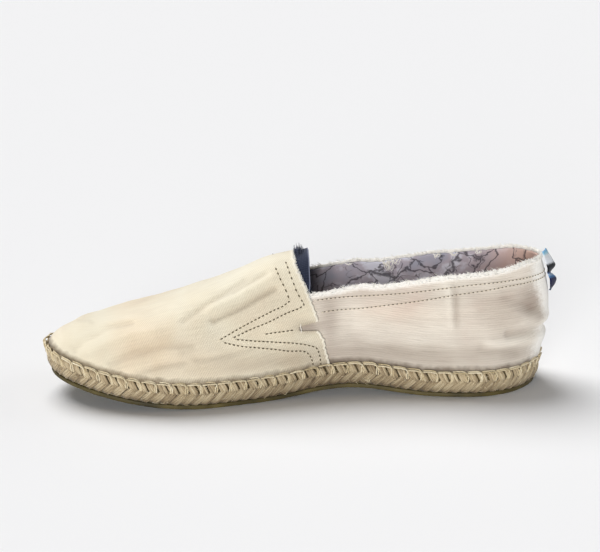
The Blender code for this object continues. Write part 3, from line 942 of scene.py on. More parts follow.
@dataclass(frozen=True)
class CanvasFinish(Finish):
    """Unbleached cotton canvas, woven in a twill and washed soft.

    The eye gets warm cream with faint slanting ribs, pale worn raw edges and a slight sheen
    of loose fibre. Painted shade darkens the ribs' grooves and the cloth within a few
    millimetres of the sole, where it meets the braid. The shade attribute adds patches and
    folds of painted shade and painted highlight, and on the quarter the rim whitening also
    carries painted highlight at the heel's back. The ribs are drawn 1.1 mm wide, where
    the real ones are about 0.7 mm, so that they show at the picture's size.
    """

    name: str
    light: str
    body: str
    warm: str
    shade: str
    raw: str = "#fffcf5"
    rib_pitch: float = 1.10 * MM
    rib_angle: float = 56.0
    rib_depth: float = 0.08 * MM
    slub_length: float = 9.0 * MM
    slub_height: float = 0.7 * MM
    slub_share: float = 0.35
    roughness: float = 0.92
    sheen: float = 0.25
    sheen_roughness: float = 0.6

    def surface(self, add: Callable) -> Surface:
        """Adds nodes that read the cloth's own attributes.

        Args:
            add: add_node for the material's own tree.

        Returns:
            The surface.
        """
        cloth = add("Attribute", out="Vector", attribute_name="cloth")
        rim, low, twill, painted_shade, warmth = (
            add("Attribute", out="Fac", attribute_name=name)
            for name in ("rim", "low", "twill", "shade", "warm"))
        where = add("TexCoord", out="Object")
        height, slub_place = self.weave(add, cloth, twill)
        patches = add("TexNoise", {"Vector": where, "Scale": 26.0, "Detail": 3.0,
                                   "Roughness": 0.55, "Distortion": 0.4})
        base = add("ValToRGB", {"Fac": patches},
                   stops=((0.30, self.warm), (0.46, self.body), (0.66, self.light)))
        # Painted shade in the grooves between the ribs
        groove = add("MapRange", {"Value": height, "From Min": 0.25, "From Max": 1.25,
                                  "To Min": 0.24, "To Max": 0.0})
        woven = add("MixRGB", {"Fac": groove, "Color1": base, "Color2": colour(self.shade)},
                    blend_type="MULTIPLY")
        warmed = add("MixRGB", {"Fac": warmth, "Color1": woven, "Color2": colour("#ffe6d2")},
                     blend_type="MULTIPLY")
        # Painted shade and painted highlight from the shade attribute, broken by noise, multiplied
        # in
        broken = add("TexNoise", {"Vector": slub_place, "Scale": 0.6, "Detail": 4.0})
        uneven = add("Math", {0: broken, 1: 0.34, 2: painted_shade}, operation="MULTIPLY_ADD")
        share = add("Math", {0: uneven, 1: 0.15}, operation="SUBTRACT", use_clamp=True)
        shaded = add("MixRGB", {"Fac": share, "Color1": warmed, "Color2": colour("#a39790")},
                     blend_type="MULTIPLY")
        # Painted shade within a few millimetres of the sole, where the canvas meets the braid, in
        # fine specks
        spots = add("TexNoise", {"Vector": where, "Scale": 260.0, "Detail": 4.0})
        foot_shade_height = add("Math", {0: spots, 1: 0.0024, 2: low}, operation="MULTIPLY_ADD")
        foot_shade = add("MapRange", {"Value": foot_shade_height, "From Min": 0.0020,
                                 "From Max": 0.0042, "To Min": 0.80, "To Max": 0.0})
        foot_shaded = add("MixRGB", {"Fac": foot_shade, "Color1": shaded, "Color2": colour("#6d5c44")},
                    blend_type="MULTIPLY")
        ragged = add("TexNoise", {"Vector": cloth, "Scale": 520.0, "Detail": 4.0,
                                  "Roughness": 0.7})
        frayed = add("Math", {0: ragged, 1: 0.70, 2: rim}, operation="MULTIPLY_ADD")
        pale = add("MapRange", {"Value": frayed, "From Min": 0.56, "From Max": 1.05,
                                "To Max": 0.88})
        edged = add("MixRGB", {"Fac": pale, "Color1": foot_shaded, "Color2": colour(self.raw)})
        return Surface(edged, height, self.rib_depth)

    def weave(self, add: Callable, cloth: bpy.types.NodeSocket, twill: bpy.types.NodeSocket
              ) -> tuple[bpy.types.NodeSocket, bpy.types.NodeSocket]:
        """Adds the ribs, the thick places of the yarn and the grain.

        Args:
            add: add_node for the material's own tree.
            cloth: Place on the cloth, in metres.
            twill: How clear the ribs are.

        Returns:
            The cloth's height, and the place stretched along the yarn.
        """
        angle = math.radians(self.rib_angle)
        wave = 2.0 * math.pi / self.rib_pitch
        over = (wave * math.sin(angle), -wave * math.cos(angle), 0.0)
        along_yarn = (1.0 / self.slub_length, 1.0 / self.slub_height, 1.0)
        wobble = add("TexNoise", {"Vector": cloth, "Scale": 140.0, "Detail": 2.0})
        across = add("VectorMath", {0: cloth, 1: over}, "Value", operation="DOT_PRODUCT")
        shaken = add("Math", {0: wobble, 1: 3.2, 2: across}, operation="MULTIPLY_ADD")
        rib = add("Math", {0: shaken}, operation="SINE")
        rib_up = add("Math", {0: rib, 1: 0.5, 2: 0.5}, operation="MULTIPLY_ADD")
        rib_part = add("Math", {0: rib_up, 1: twill}, operation="MULTIPLY")
        stretched = add("VectorMath", {0: cloth, 1: along_yarn}, operation="MULTIPLY")
        slub = add("TexNoise", {"Vector": stretched, "Scale": 1.0, "Detail": 3.0})
        slub_part = add("Math", {0: slub, 1: self.slub_share * 2.0, 2: rib_part},
                        operation="MULTIPLY_ADD")
        grain = add("TexNoise", {"Vector": cloth, "Scale": 1500.0, "Detail": 1.0})
        height = add("Math", {0: grain, 1: 0.35, 2: slub_part}, operation="MULTIPLY_ADD")
        return height, stretched


@dataclass(frozen=True)
class FibreFinish(Finish):
    """Spun fibre such as jute or cotton, seen along its strands.

    The eye gets matt strands with fine lines along them, each a little lighter or darker
    than its neighbours.
    """

    name: str
    dark: str
    body: str
    light: str
    fibre_width: float = 0.30 * MM
    fibre_length: float = 5.0 * MM
    depth: float = 0.16 * MM
    turns_per_metre: float = 0.0
    sheen: float = 0.15

    def surface(self, add: Callable) -> Surface:
        """Adds nodes that read the strands' 'lay', 'tone' and 'shade' attributes.

        Args:
            add: add_node for the material's own tree.

        Returns:
            The surface.
        """
        lay = add("Attribute", out="Vector", attribute_name="lay")
        tone = add("Attribute", out="Fac", attribute_name="tone")
        shade = add("Attribute", out="Fac", attribute_name="shade")
        along = add("SeparateXYZ", {0: lay}, "Z")
        turn = add("Math", {0: along, 1: self.turns_per_metre * 2.0 * math.pi},
                   operation="MULTIPLY")
        twisted = add("VectorRotate", {"Vector": lay, "Angle": turn}, rotation_type="Z_AXIS")
        stretch = (1.0 / self.fibre_width, 1.0 / self.fibre_width, 1.0 / self.fibre_length)
        fine = add("VectorMath", {0: twisted, 1: stretch}, operation="MULTIPLY")
        moved = add("Math", {0: tone, 1: 40.0}, operation="MULTIPLY")
        apart = add("VectorMath", {0: fine, 1: moved}, operation="ADD")
        strands = add("TexNoise", {"Vector": apart, "Scale": 1.0, "Detail": 3.0,
                                   "Roughness": 0.6})
        mixed = add("Math", {0: tone, 1: 0.30, 2: strands}, operation="MULTIPLY_ADD")
        base = add("ValToRGB", {"Fac": mixed},
                   stops=((0.38, self.dark), (0.62, self.body), (0.92, self.light)))
        # Painted shade from the shade attribute
        shaded = add("MixRGB", {"Fac": shade, "Color1": base, "Color2": colour("#6a5a44")},
                     blend_type="MULTIPLY")
        return Surface(shaded, strands, self.depth)


@dataclass(frozen=True)
class LiningFinish(Finish):
    """Thin printed cotton lining with a marbled net of fine dark veins.

    The eye gets grey-lavender cloth with branching lines, paler and darker clouds, and a
    brownish pink patch towards the heel.
    """

    name: str = "printed_cotton_lining"
    ground_light: str = "#dcdce8"
    ground_dark: str = "#aaabba"
    vein: str = "#3b3840"
    tint: str = "#bdb5bf"
    heel_tint: str = "#dcbdb0"
    front_tint: str = "#4a4f63"
    cell: float = 19.0 * MM
    specular: float = 0.2
    sheen: float = 0.15

    def surface(self, add: Callable) -> Surface:
        """Adds nodes that read the lining's own attributes.

        Args:
            add: add_node for the material's own tree.

        Returns:
            The surface.
        """
        cloth = add("Attribute", out="Vector", attribute_name="cloth")
        heel = add("Attribute", out="Fac", attribute_name="heel")
        front = add("Attribute", out="Fac", attribute_name="front")
        warp = add("TexNoise", {"Vector": cloth, "Scale": 120.0, "Detail": 3.0}, "Color")
        pushed = add("VectorMath", {0: warp, 1: (0.014, 0.014, 0.0), 2: cloth},
                     operation="MULTIPLY_ADD")
        net, twigs = (add("TexVoronoi", {"Vector": pushed, "Scale": scale / self.cell},
                          "Distance", feature="DISTANCE_TO_EDGE") for scale in (1.0, 2.6))
        net_line = add("MapRange", {"Value": net, "From Min": 0.008, "From Max": 0.032,
                                    "To Min": 0.80, "To Max": 0.0})
        twig_line = add("MapRange", {"Value": twigs, "From Min": 0.012, "From Max": 0.055,
                                     "To Min": 0.7, "To Max": 0.0})
        patchy = add("TexNoise", {"Vector": cloth, "Scale": 75.0, "Detail": 2.0})
        patch = add("MapRange", {"Value": patchy, "From Min": 0.48, "From Max": 0.56})
        twig_part = add("Math", {0: twig_line, 1: patch}, operation="MULTIPLY")
        lines = add("Math", {0: net_line, 1: twig_part}, operation="MAXIMUM")
        clouds = add("TexNoise", {"Vector": cloth, "Scale": 55.0, "Detail": 4.0})
        base = add("ValToRGB", {"Fac": clouds},
                   stops=((0.34, self.ground_dark), (0.50, self.tint),
                          (0.56, self.ground_light), (0.70, self.ground_light)))
        for share, tint in ((heel, self.heel_tint), (front, self.front_tint),
                            (lines, self.vein)):
            base = add("MixRGB", {"Fac": share, "Color1": base, "Color2": colour(tint)})
        weave = add("TexNoise", {"Vector": cloth, "Scale": 1800.0, "Detail": 1.0})
        return Surface(base, weave, 0.06 * MM)


@dataclass(frozen=True)
class PlainWeaveFinish(Finish):
    """Close plain-woven cotton in one dye, with fine crossing yarns.

    The eye gets one matt colour, broken by a fine check of threads and soft wear.
    """

    name: str
    dark: str
    light: str
    pitch: float = 0.8 * MM
    depth: float = 0.08 * MM
    roughness: float = 0.93
    specular: float = 0.2
    sheen: float = 0.15

    def surface(self, add: Callable) -> Surface:
        """Adds nodes on Object coordinates.

        Args:
            add: add_node for the material's own tree.

        Returns:
            The surface.
        """
        where = add("TexCoord", out="Object")
        warp, weft = (add("TexWave", {"Vector": where, "Scale": 1.0 / self.pitch / 3.2,
                                      "Distortion": 1.5, "Detail Scale": 3.0}, "Fac",
                          bands_direction=axis) for axis in "XY")
        check = add("Math", {0: warp, 1: weft}, operation="MULTIPLY")
        wear = add("TexNoise", {"Vector": where, "Scale": 45.0, "Detail": 5.0})
        mixed = add("Math", {0: check, 1: 0.25, 2: wear}, operation="MULTIPLY_ADD")
        base = add("ValToRGB", {"Fac": mixed}, stops=((0.35, self.dark), (0.80, self.light)))
        rim = add("Attribute", out="Fac", attribute_name="rim")
        share = add("MapRange", {"Value": rim, "From Min": 0.70, "From Max": 0.85,
                                 "To Max": 0.75})
        edged = add("MixRGB", {"Fac": share, "Color1": base, "Color2": colour("#8f95ab")})
        return Surface(edged, check, self.depth)


@dataclass(frozen=True)
class RubberFinish(Finish):
    """Natural crepe rubber sheet, vulcanised and cut.

    The eye gets olive brown with a waxy, uneven surface and darker handling marks.
    """

    name: str = "natural_crepe_rubber"
    dark: str = "#3a331a"
    body: str = "#554b28"
    light: str = "#6d6138"
    grain: float = 1.6 * MM
    roughness: float = 0.62
    specular: float = 0.4

    def surface(self, add: Callable) -> Surface:
        """Adds nodes on Object coordinates.

        Args:
            add: add_node for the material's own tree.

        Returns:
            The surface.
        """
        where = add("TexCoord", out="Object")
        coarse = add("TexNoise", {"Vector": where, "Scale": 60.0, "Detail": 5.0})
        fine = add("TexNoise", {"Vector": where, "Scale": 1.0 / self.grain, "Detail": 3.0})
        base = add("ValToRGB", {"Fac": coarse},
                   stops=((0.32, self.dark), (0.52, self.body), (0.72, self.light)))
        return Surface(base, fine, 0.20 * MM)


@dataclass(frozen=True)
class RibbonFinish(Finish):
    """Woven satin ribbon, printed in bands across it.

    The eye gets a smooth cloth with a soft gloss, fine ribs across and clear bands; the
    black band is painted shade where the upper lobe turns under.
    """

    name: str = "woven_satin_ribbon"
    bands: tuple[tuple[float, str], ...] = (
        (0.00, "#7fbdec"), (0.09, "#a5dcf0"), (0.15, "#f4f8fc"), (0.31, "#f0f4fa"),
        # The black band is painted shade under the upper lobe
        (0.35, "#0b1218"), (0.47, "#0d1826"), (0.52, "#2a4f86"), (0.57, "#b9d4ee"),
        (0.63, "#5b8cc4"), (0.69, "#0c1246"), (0.90, "#0a0f38"), (0.96, "#5c6a78"),
    )
    rib: float = 0.5 * MM
    length: float = 30.0 * MM
    roughness: float = 0.50
    specular: float = 0.12

    def surface(self, add: Callable) -> Surface:
        """Adds nodes that read the ribbon's 'cloth' attribute.

        Args:
            add: add_node for the material's own tree.

        Returns:
            The surface.
        """
        cloth = add("Attribute", out="Vector", attribute_name="cloth")
        down, across = (add("SeparateXYZ", {0: cloth}, axis) for axis in "XY")
        uneven = add("TexNoise", {"Vector": cloth, "Scale": 6.0, "Detail": 2.0})
        place = add("Math", {0: uneven, 1: 0.05, 2: down}, operation="MULTIPLY_ADD")
        bands = add("ValToRGB", {"Fac": place},
                    stops=tuple((min(1.0, stop + 0.025), code) for stop, code in self.bands))
        selvedge = add("MapRange", {"Value": across, "From Min": 0.84, "From Max": 0.90})
        edged = add("MixRGB", {"Fac": selvedge, "Color1": bands, "Color2": colour("#16222e")})
        count = add("Math", {0: down, 1: 2.0 * math.pi * self.length / self.rib},
                    operation="MULTIPLY")
        ribs = add("Math", {0: count}, operation="SINE")
        return Surface(edged, ribs, 0.04 * MM)


@dataclass(frozen=True)
class HoleFinish(Finish):
    """The shade inside a needle hole: the eye gets a small soft dark spot."""

    name: str = "needle_hole_shade"
    dark: str = "#5d5443"
    light: str = "#776d59"
    roughness: float = 1.0
    specular: float = 0.0

    def surface(self, add: Callable) -> Surface:
        """Adds a slight unevenness.

        Args:
            add: add_node for the material's own tree.

        Returns:
            The surface.
        """
        spots = add("TexNoise", {"Vector": add("TexCoord", out="Object"), "Scale": 300.0})
        return Surface(add("ValToRGB", {"Fac": spots},
                           stops=((0.35, self.dark), (0.65, self.light))))


@dataclass(frozen=True)
class PaperFinish(Finish):
    """Matt studio paper under the shoe: the eye gets an even, nearly white floor."""

    name: str = "matt_studio_paper"
    tint: str = "#f2f2f3"
    roughness: float = 1.0
    specular: float = 0.0

    def make(self) -> bpy.types.Material:
        """Makes the material in one colour.

        Returns:
            The material.
        """
        made = bpy.data.materials.new(self.name)
        made.use_nodes = True
        shader = made.node_tree.nodes["Principled BSDF"]
        for name, value in (("Base Color", colour(self.tint)), ("Roughness", self.roughness),
                            ("Metallic", 0.0), ("Specular IOR Level", self.specular)):
            shader.inputs[name].default_value = value
        return made


class Finishes:
    """Every material of the shoe, made once."""

    def __init__(self) -> None:
        """Makes the materials."""
        self.vamp = CanvasFinish("cotton_twill_canvas", "#f7f0da", "#f2e8cf", "#efe1c7",
                                 "#a2927a", raw="#fdf6e4").make()
        self.quarter = CanvasFinish("cotton_canvas_quarter", "#f0e8da", "#e8ded0", "#e4d5c7",
                                    "#9c8f80", rib_pitch=1.15 * MM, rib_angle=0.0,
                                    slub_share=0.75, slub_length=11.0 * MM,
                                    slub_height=0.9 * MM).make()
        self.lining = LiningFinish().make()
        self.navy = PlainWeaveFinish("navy_cotton_lining", "#1d2233", "#3b435a").make()
        self.insole = PlainWeaveFinish("cotton_insole_cloth", "#b9a88c", "#d9cbb0",
                                       pitch=1.4 * MM, depth=0.18 * MM).make()
        self.jute = FibreFinish("braided_jute", "#84725a", "#bba887", "#e2d3b2").make()
        # The rope core's dark colours are painted shade in the braid's gaps
        self.shaded_jute_core = FibreFinish("shaded_jute_rope_core", "#4e4229", "#6f6040", "#8a7850").make()
        self.jute_thread = FibreFinish("twisted_jute_thread", "#a9966f", "#dccba6", "#f4ead0",
                                       turns_per_metre=260.0).make()
        self.raw_cotton = FibreFinish("raw_cotton_fibre", "#f3ede0", "#fcf9f1", "#ffffff",
                                      sheen=0.4).make()
        self.sewing_thread = FibreFinish("cotton_sewing_thread", "#c9bda4", "#e2d7c0",
                                         "#f5efe0").make()
        self.navy_fibre = FibreFinish("navy_cotton_fibre", "#171b28", "#2c3346",
                                      "#69718a").make()
        self.rubber = RubberFinish().make()
        self.ribbon = RibbonFinish().make()
        self.hole = HoleFinish().make()


def finished(work: bmesh.types.BMesh, name: str) -> bpy.types.Mesh:
    """Turns a bmesh into a mesh and frees it.

    Args:
        work: The bmesh.
        name: Name of the mesh.

    Returns:
        The mesh.
    """
    mesh = bpy.data.meshes.new(name)
    work.to_mesh(mesh)
    work.free()
    return mesh


@dataclass
class Workshop:
    """Turns finished meshes into pieces of the shoe, in the frame's place.

    The shift leads from the sole's own plan to the frame.
    """

    shift: Vector

    WELD: ClassVar[float] = 0.02 * MM
    TINY: ClassVar[float] = 0.001 * MM
    UNIT_WELD: ClassVar[float] = 0.0001
    MIDDLE: ClassVar[Vector] = Vector((0.0, 0.0, 22.0 * MM))
    LENGTHWISE_WEIGHT: ClassVar[float] = 0.2

    def piece(self, mesh: bpy.types.Mesh, material: bpy.types.Material, slot: str
              ) -> bpy.types.Object:
        """Adds an object of a mesh, with the mesh's name.

        Args:
            mesh: Its mesh, in the sole's own plan.
            material: Its material.
            slot: Not used.

        Returns:
            The object, which rides on the shoe's body.
        """
        mesh.transform(Matrix.Translation(self.shift))
        mesh.shade_smooth()
        mesh.materials.append(material)
        made = bpy.data.objects.new(mesh.name, mesh)
        bpy.context.scene.collection.objects.link(made)
        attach(made, "root")
        LOG.info("%s: %d faces", made.name, len(mesh.polygons))
        return made

    def sheet(self, name: str, columns: int, rows: int,
              place: Callable[[np.ndarray, np.ndarray], tuple[np.ndarray, dict]],
              cut: Optional[Callable[[float, float], bool]] = None) -> bpy.types.Mesh:
        """Maps a grid onto a form.

        Args:
            name: Name of the mesh.
            columns: Faces across, along the first coordinate, from -1 to 1.
            rows: Faces along the second coordinate, from 0 to 1.
            place: Gives the points and the named point values for coordinates.
            cut: Says of a face's middle whether it is left out.

        Returns:
            The mesh, with its faces outwards.
        """
        work = bmesh.new()
        bmesh.ops.create_grid(work, x_segments=columns, y_segments=rows, size=1.0)
        if cut is not None:
            gone = [face for face in work.faces
                    if cut(face.calc_center_median().x, 0.5 + 0.5 * face.calc_center_median().y)]
            bmesh.ops.delete(work, geom=gone, context="FACES")
        flat = np.array([(vert.co.x, 0.5 + 0.5 * vert.co.y) for vert in work.verts])
        points, values = place(flat[:, 0], flat[:, 1])
        layers = {}
        for key, value in values.items():
            kind = work.verts.layers.float_vector if value.ndim == 2 else work.verts.layers.float
            layers[key] = kind.new(key)
        for number, vert in enumerate(work.verts):
            vert.co = points[number]
            for key, layer in layers.items():
                value = values[key][number]
                vert[layer] = Vector(value) if values[key].ndim == 2 else float(value)
        bmesh.ops.remove_doubles(work, verts=work.verts, dist=self.WELD)
        bmesh.ops.dissolve_degenerate(work, edges=work.edges, dist=self.TINY)
        self.turn_out(work)
        return finished(work, name)

    def turn_out(self, work: bmesh.types.BMesh) -> None:
        """Turns all faces together so that most look away from the middle of the shoe.

        Args:
            work: The bmesh whose faces are turned.
        """
        bmesh.ops.recalc_face_normals(work, faces=work.faces)
        score = 0.0
        for face in work.faces:
            away = face.calc_center_median() - self.MIDDLE
            away.x *= self.LENGTHWISE_WEIGHT
            score += face.normal.dot(away) * face.calc_area()
        if score < 0.0:
            bmesh.ops.reverse_faces(work, faces=work.faces)

    @staticmethod
    def thicken(made: bpy.types.Object, thickness: float, offset: float = -1.0) -> None:
        """Gives a sheet its wall.

        Args:
            made: The sheet.
            thickness: Thickness of the wall.
            offset: -1 for a wall inwards from the sheet's face, 0 for one on both sides.
        """
        wall = made.modifiers.new("wall", "SOLIDIFY")
        wall.thickness = thickness
        wall.offset = offset

    def threads(self, name: str, paths: np.ndarray, radii: np.ndarray, away: np.ndarray,
                sides: int, rng: np.random.Generator,
                shades: Optional[np.ndarray] = None) -> bpy.types.Mesh:
        """Lays many round strands along paths, as one mesh.

        Args:
            name: Name of the mesh.
            paths: Points of each strand's middle line, of shape (strands, rings, 3).
            radii: Radius at each ring, of shape (strands, rings).
            away: A direction across each strand, of shape (strands, 3).
            sides: Faces round a strand.
            rng: Source of each strand's tone.
            shades: Painted shade of each ring, from 0 to 1, of the shape of the radii.

        Returns:
            The mesh, with 'lay', 'tone' and 'shade' point values.
        """
        count, rings = paths.shape[:2]
        work = bmesh.new()
        bmesh.ops.create_grid(work, x_segments=sides, y_segments=rings - 1, size=1.0)
        for vert in work.verts:
            turn = math.pi * vert.co.x
            vert.co = (math.cos(turn), math.sin(turn), 0.5 + 0.5 * vert.co.y)
        bmesh.ops.remove_doubles(work, verts=work.verts, dist=self.UNIT_WELD)
        ends = [edge for edge in work.edges if edge.is_boundary]
        bmesh.ops.holes_fill(work, edges=ends, sides=sides)
        bmesh.ops.recalc_face_normals(work, faces=work.faces)
        work.verts.index_update()
        one = np.array([vert.co for vert in work.verts])
        faces = [[vert.index for vert in face.verts] for face in work.faces]
        work.free()
        ring = np.rint(one[:, 2] * (rings - 1)).astype(int)
        tangent = unit(np.gradient(paths, axis=1))
        across = unit(np.cross(tangent, away[:, None, :]))
        up = np.cross(across, tangent)
        radius = radii[:, ring, None]
        points = (paths[:, ring] + across[:, ring] * radius * one[None, :, 0:1]
                  + up[:, ring] * radius * one[None, :, 1:2])
        steps = np.linalg.norm(np.diff(paths, axis=1), axis=2)
        run = np.concatenate([np.zeros((count, 1)), np.cumsum(steps, axis=1)], axis=1)
        lay = np.stack([one[None, :, 0] * radii[:, ring], one[None, :, 1] * radii[:, ring],
                        run[:, ring]], axis=-1)
        tone = np.repeat(rng.random(count), len(one))
        lists = [[index + number * len(one) for index in face]
                 for number in range(count) for face in faces]
        mesh = bpy.data.meshes.new(name)
        mesh.from_pydata(points.reshape(-1, 3).tolist(), [], lists)
        values = [("lay", "FLOAT_VECTOR", "vector", lay), ("tone", "FLOAT", "value", tone)]
        if shades is not None:
            values.append(("shade", "FLOAT", "value", shades[:, ring]))
        for key, kind, channel, value in values:
            layer = mesh.attributes.new(key, kind, "POINT")
            layer.data.foreach_set(channel, value.reshape(-1).astype(np.float32))
        return mesh


@dataclass
class SurfaceRow:
    """A line drawn on the folded canvas, read at equal steps."""

    form: ShoeForm
    side: Side
    line: tuple[SidePlace, ...]
    offset: float
    samples: int = 160

    def __post_init__(self) -> None:
        """Finds the line on the form."""
        found = self.form.locate(self.side, self.line)
        spans = np.linalg.norm(np.diff(np.array(self.line), axis=0), axis=1)
        knots = np.concatenate([[0.0], np.cumsum(spans)])
        wanted = np.linspace(0.0, knots[-1], self.samples)
        self.share = smooth_through(knots, found[:, 0], wanted)
        self.turn = smooth_through(knots, found[:, 1], wanted)
        self.points = self.form.skin(self.side, self.share, self.turn, self.offset)
        self.out = self.form.outward(self.side, self.share, self.turn)
        steps = np.linalg.norm(np.diff(self.points, axis=0), axis=1)
        self.run = np.concatenate([[0.0], np.cumsum(steps)])

    def at(self, run: np.ndarray) -> tuple[np.ndarray, np.ndarray]:
        """Reads the line.

        Args:
            run: Runs along the line.

        Returns:
            Points and outward directions.
        """
        points = np.stack([np.interp(run, self.run, self.points[:, axis]) for axis in range(3)], 1)
        out = np.stack([np.interp(run, self.run, self.out[:, axis]) for axis in range(3)], 1)
        return points, unit(out)


def line_height(line: Sequence[SidePlace], along: Numbers) -> np.ndarray:
    """Height of a side-view line at places along it, all in millimetres."""
    return smooth_through([point.along for point in line], [point.height for point in line], along)


def line_along(line: Sequence[SidePlace], height: Numbers) -> np.ndarray:
    """Place along of a rising side-view line at heights, all in millimetres."""
    heights = [point.height for point in line]
    return smooth_through(heights, [point.along for point in line], height)


@dataclass
class Assembly:
    """A sub-assembly, with the form it lies on, its workshop and the shoe's finishes."""

    form: ShoeForm
    shop: Workshop
    finishes: Finishes


@dataclass
class CanvasUpper(Assembly):
    """The quarter round the heel and the vamp over its front, with their linings."""

    cloth: float = 0.75 * MM
    vamp_cloth: float = 0.85 * MM
    lining: float = 0.45 * MM
    quarter_front: float = 0.66
    quarter_columns: int = 330
    quarter_rows: int = 54
    vamp_columns: int = 96
    vamp_rows: int = 150
    slit_rows: int = 12
    raw_width: float = 4.6 * MM
    tongue: float = 5.6 * MM
    foot_drop: float = 0.9 * MM
    edge_wobble: float = 0.45 * MM
    edge_roll: float = 0.45 * MM
    lining_drop: float = 1.5 * MM
    far_lining_rise: float = 0.4 * MM
    slit_height: float = 0.36
    top_turns: dict = field(default_factory=dict)
    edge_shares: dict = field(default_factory=dict)

    def __post_init__(self) -> None:
        """Finds where the collar line and the vamp's free edge cross the form."""
        turns = np.linspace(0.0, 1.0, 360)
        shares = np.linspace(0.0, 0.75, 500)
        for side in Side:
            points = self.form.wall(side, shares[:, None], turns[None, :])
            along = share_along(points[..., 0]) * SOLE_LENGTH / MM
            above = points[..., 2] / MM - line_height(COLLAR_LINE, along)
            self.top_turns[side] = (shares, self._crossings(above, turns))
            past = along - line_along(VAMP_LINE, points[..., 2] / MM)
            self.edge_shares[side] = (turns, self._crossings(past.T, shares))

    @staticmethod
    def _crossings(values: np.ndarray, places_of: np.ndarray) -> np.ndarray:
        """Finds where the values of each row pass from below zero to above.

        Args:
            values: Rows of values.
            places_of: The place of each column.

        Returns:
            A place for each row.
        """
        after = np.argmax(values > 0.0, axis=1)
        after = np.where((values > 0.0).any(axis=1), np.maximum(after, 1), len(places_of) - 1)
        rows = np.arange(len(values))
        low, high = values[rows, after - 1], values[rows, after]
        part = np.clip(-low / np.where(high == low, 1.0, high - low), 0.0, 1.0)
        return places_of[after - 1] + part * (places_of[after] - places_of[after - 1])

    def top_turn(self, side: Side, share: Numbers) -> np.ndarray:
        """Turn at which the collar line crosses the wall over a share of the sole's edge."""
        return np.interp(share, *self.top_turns[side])

    def edge_share(self, side: Side, turn: Numbers) -> np.ndarray:
        """Share of the sole's edge under the vamp's free edge at a turn."""
        return np.interp(turn, *self.edge_shares[side])

    @staticmethod
    def _both_sides(read: Callable[[Side, np.ndarray, np.ndarray], dict]) -> Callable:
        """Makes a map of the whole grid from a reader of one side.

        Args:
            read: Gives a side's points and point values for its grid places.

        Returns:
            A function that gives the points and the point values of the grid.
        """
        def place(across: np.ndarray, along: np.ndarray) -> tuple[np.ndarray, dict]:
            """Fills the grid's arrays side by side.

            Args:
                across: From -1 to 1, below zero on the medial side.
                along: From 0 to 1.

            Returns:
                Points, and point values by name.
            """
            filled: dict = {}
            for side in Side:
                rows = np.nonzero(across < 0.0 if side is Side.MEDIAL else across >= 0.0)[0]
                for key, value in read(side, np.abs(across[rows]), along[rows]).items():
                    if key not in filled:
                        filled[key] = np.zeros((len(across),) + value.shape[1:])
                    filled[key][rows] = value
            return filled.pop("points"), filled
        return place

    def quarter_mesh(self, name: str, offset: float, lower: float, columns: int, rows: int
                     ) -> bpy.types.Mesh:
        """The sheet round the heel, from the sole up to the collar.

        Args:
            name: Name of the mesh.
            offset: Its outer face's offset from the quarter's face.
            lower: How far its top lies below the collar line, in metres.
            columns: Faces round the heel.
            rows: Faces up the wall.

        Returns:
            The mesh.
        """
        def read(side: Side, across: np.ndarray, up: np.ndarray) -> dict:
            """Reads a side of the quarter.

            Args:
                side: Side of the shoe.
                across: From 0 at the heel to 1 at the front.
                up: From 0 at the sole to 1 at the collar.

            Returns:
                Points and point values by name.
            """
            share = across * self.quarter_front
            top = self.top_turn(side, share)
            full = self.form.path(side, share, top)
            run = share * self.form.edges[side].length * side.value
            uneven = (0.5 * np.sin(run / MM * 0.9) + 0.3 * np.sin(run / MM * 2.3 + 1.0)
                      + 0.3 * np.sin(run / MM * 0.37 + 2.0))
            rise = self.far_lining_rise * (side is Side.LATERAL) * (lower > 0.0)
            drop = lower - rise + self.edge_wobble * uneven
            turn = up * top * (1.0 - drop / full)
            path = self.form.path(side, share, turn)
            flat = self.form.wall(side, share, turn)
            points = self.form.skin(side, share, turn, offset)
            tones = self.form.tones(flat, self.form.relief(side, share, turn))
            foot = eased(up, 0.04, 0.0)
            points[:, 2] -= self.foot_drop * foot
            heel = eased(share, 0.20, 0.05)
            lumps = 1.0 + 0.45 * np.sin(run / MM * 1.25) + 0.3 * np.sin(run / MM * 2.9)
            roll = self.edge_roll * lumps * eased(path, full - 3.6 * MM, full - 0.9 * MM)
            points += self.form.outward(side, share, turn) * roll[:, None] * (offset == 0.0)
            # The pale tone is painted highlight at the heel's back, whitened through the rim
            pale = tones.pop("pale")
            return {
                "points": points,
                **tones,
                "cloth": np.stack([run, path, 0.0 * run], axis=1),
                "rim": np.maximum(ramp(path, full - self.raw_width, full), pale),
                "low": path,
                "twill": 0.0 * path + 0.75,
                "heel": heel,
                "front": eased(share_along(flat[:, 0]), 0.435, 0.462) * 0.85,
            }
        return self.shop.sheet(name, columns, rows, self._both_sides(read))

    def _slit(self, side: Side) -> tuple[np.ndarray, np.ndarray, float]:
        """Finds the slit.

        Args:
            side: Side of the shoe.

        Returns:
            Turns of its low and high sides at both ends, and its length as a share.
        """
        low = self.form.locate(side, SLIT_LOW)
        high = self.form.locate(side, SLIT_HIGH)
        part = (low[1, 0] - low[0, 0]) / (1.0 - low[0, 0])
        return low[:, 1], high[:, 1], float(part)

    def vamp_mesh(self, name: str, offset: Callable[[np.ndarray], np.ndarray], back: float,
                  columns: int, rows: int, slit: bool) -> bpy.types.Mesh:
        """The sheet over the toes and the instep, from its free edge to the toe.

        Args:
            name: Name of the mesh.
            offset: Gives its face's offset from the quarter's face at points.
            back: How far it reaches behind the vamp's free edge, in metres.
            columns: Faces from the sole to the ridge, on each side.
            rows: Faces from the free edge to the toe.
            slit: Whether the slit is cut.

        Returns:
            The mesh.
        """
        slits = {side: self._slit(side) for side in Side}
        low_column = round(columns * self.slit_height)

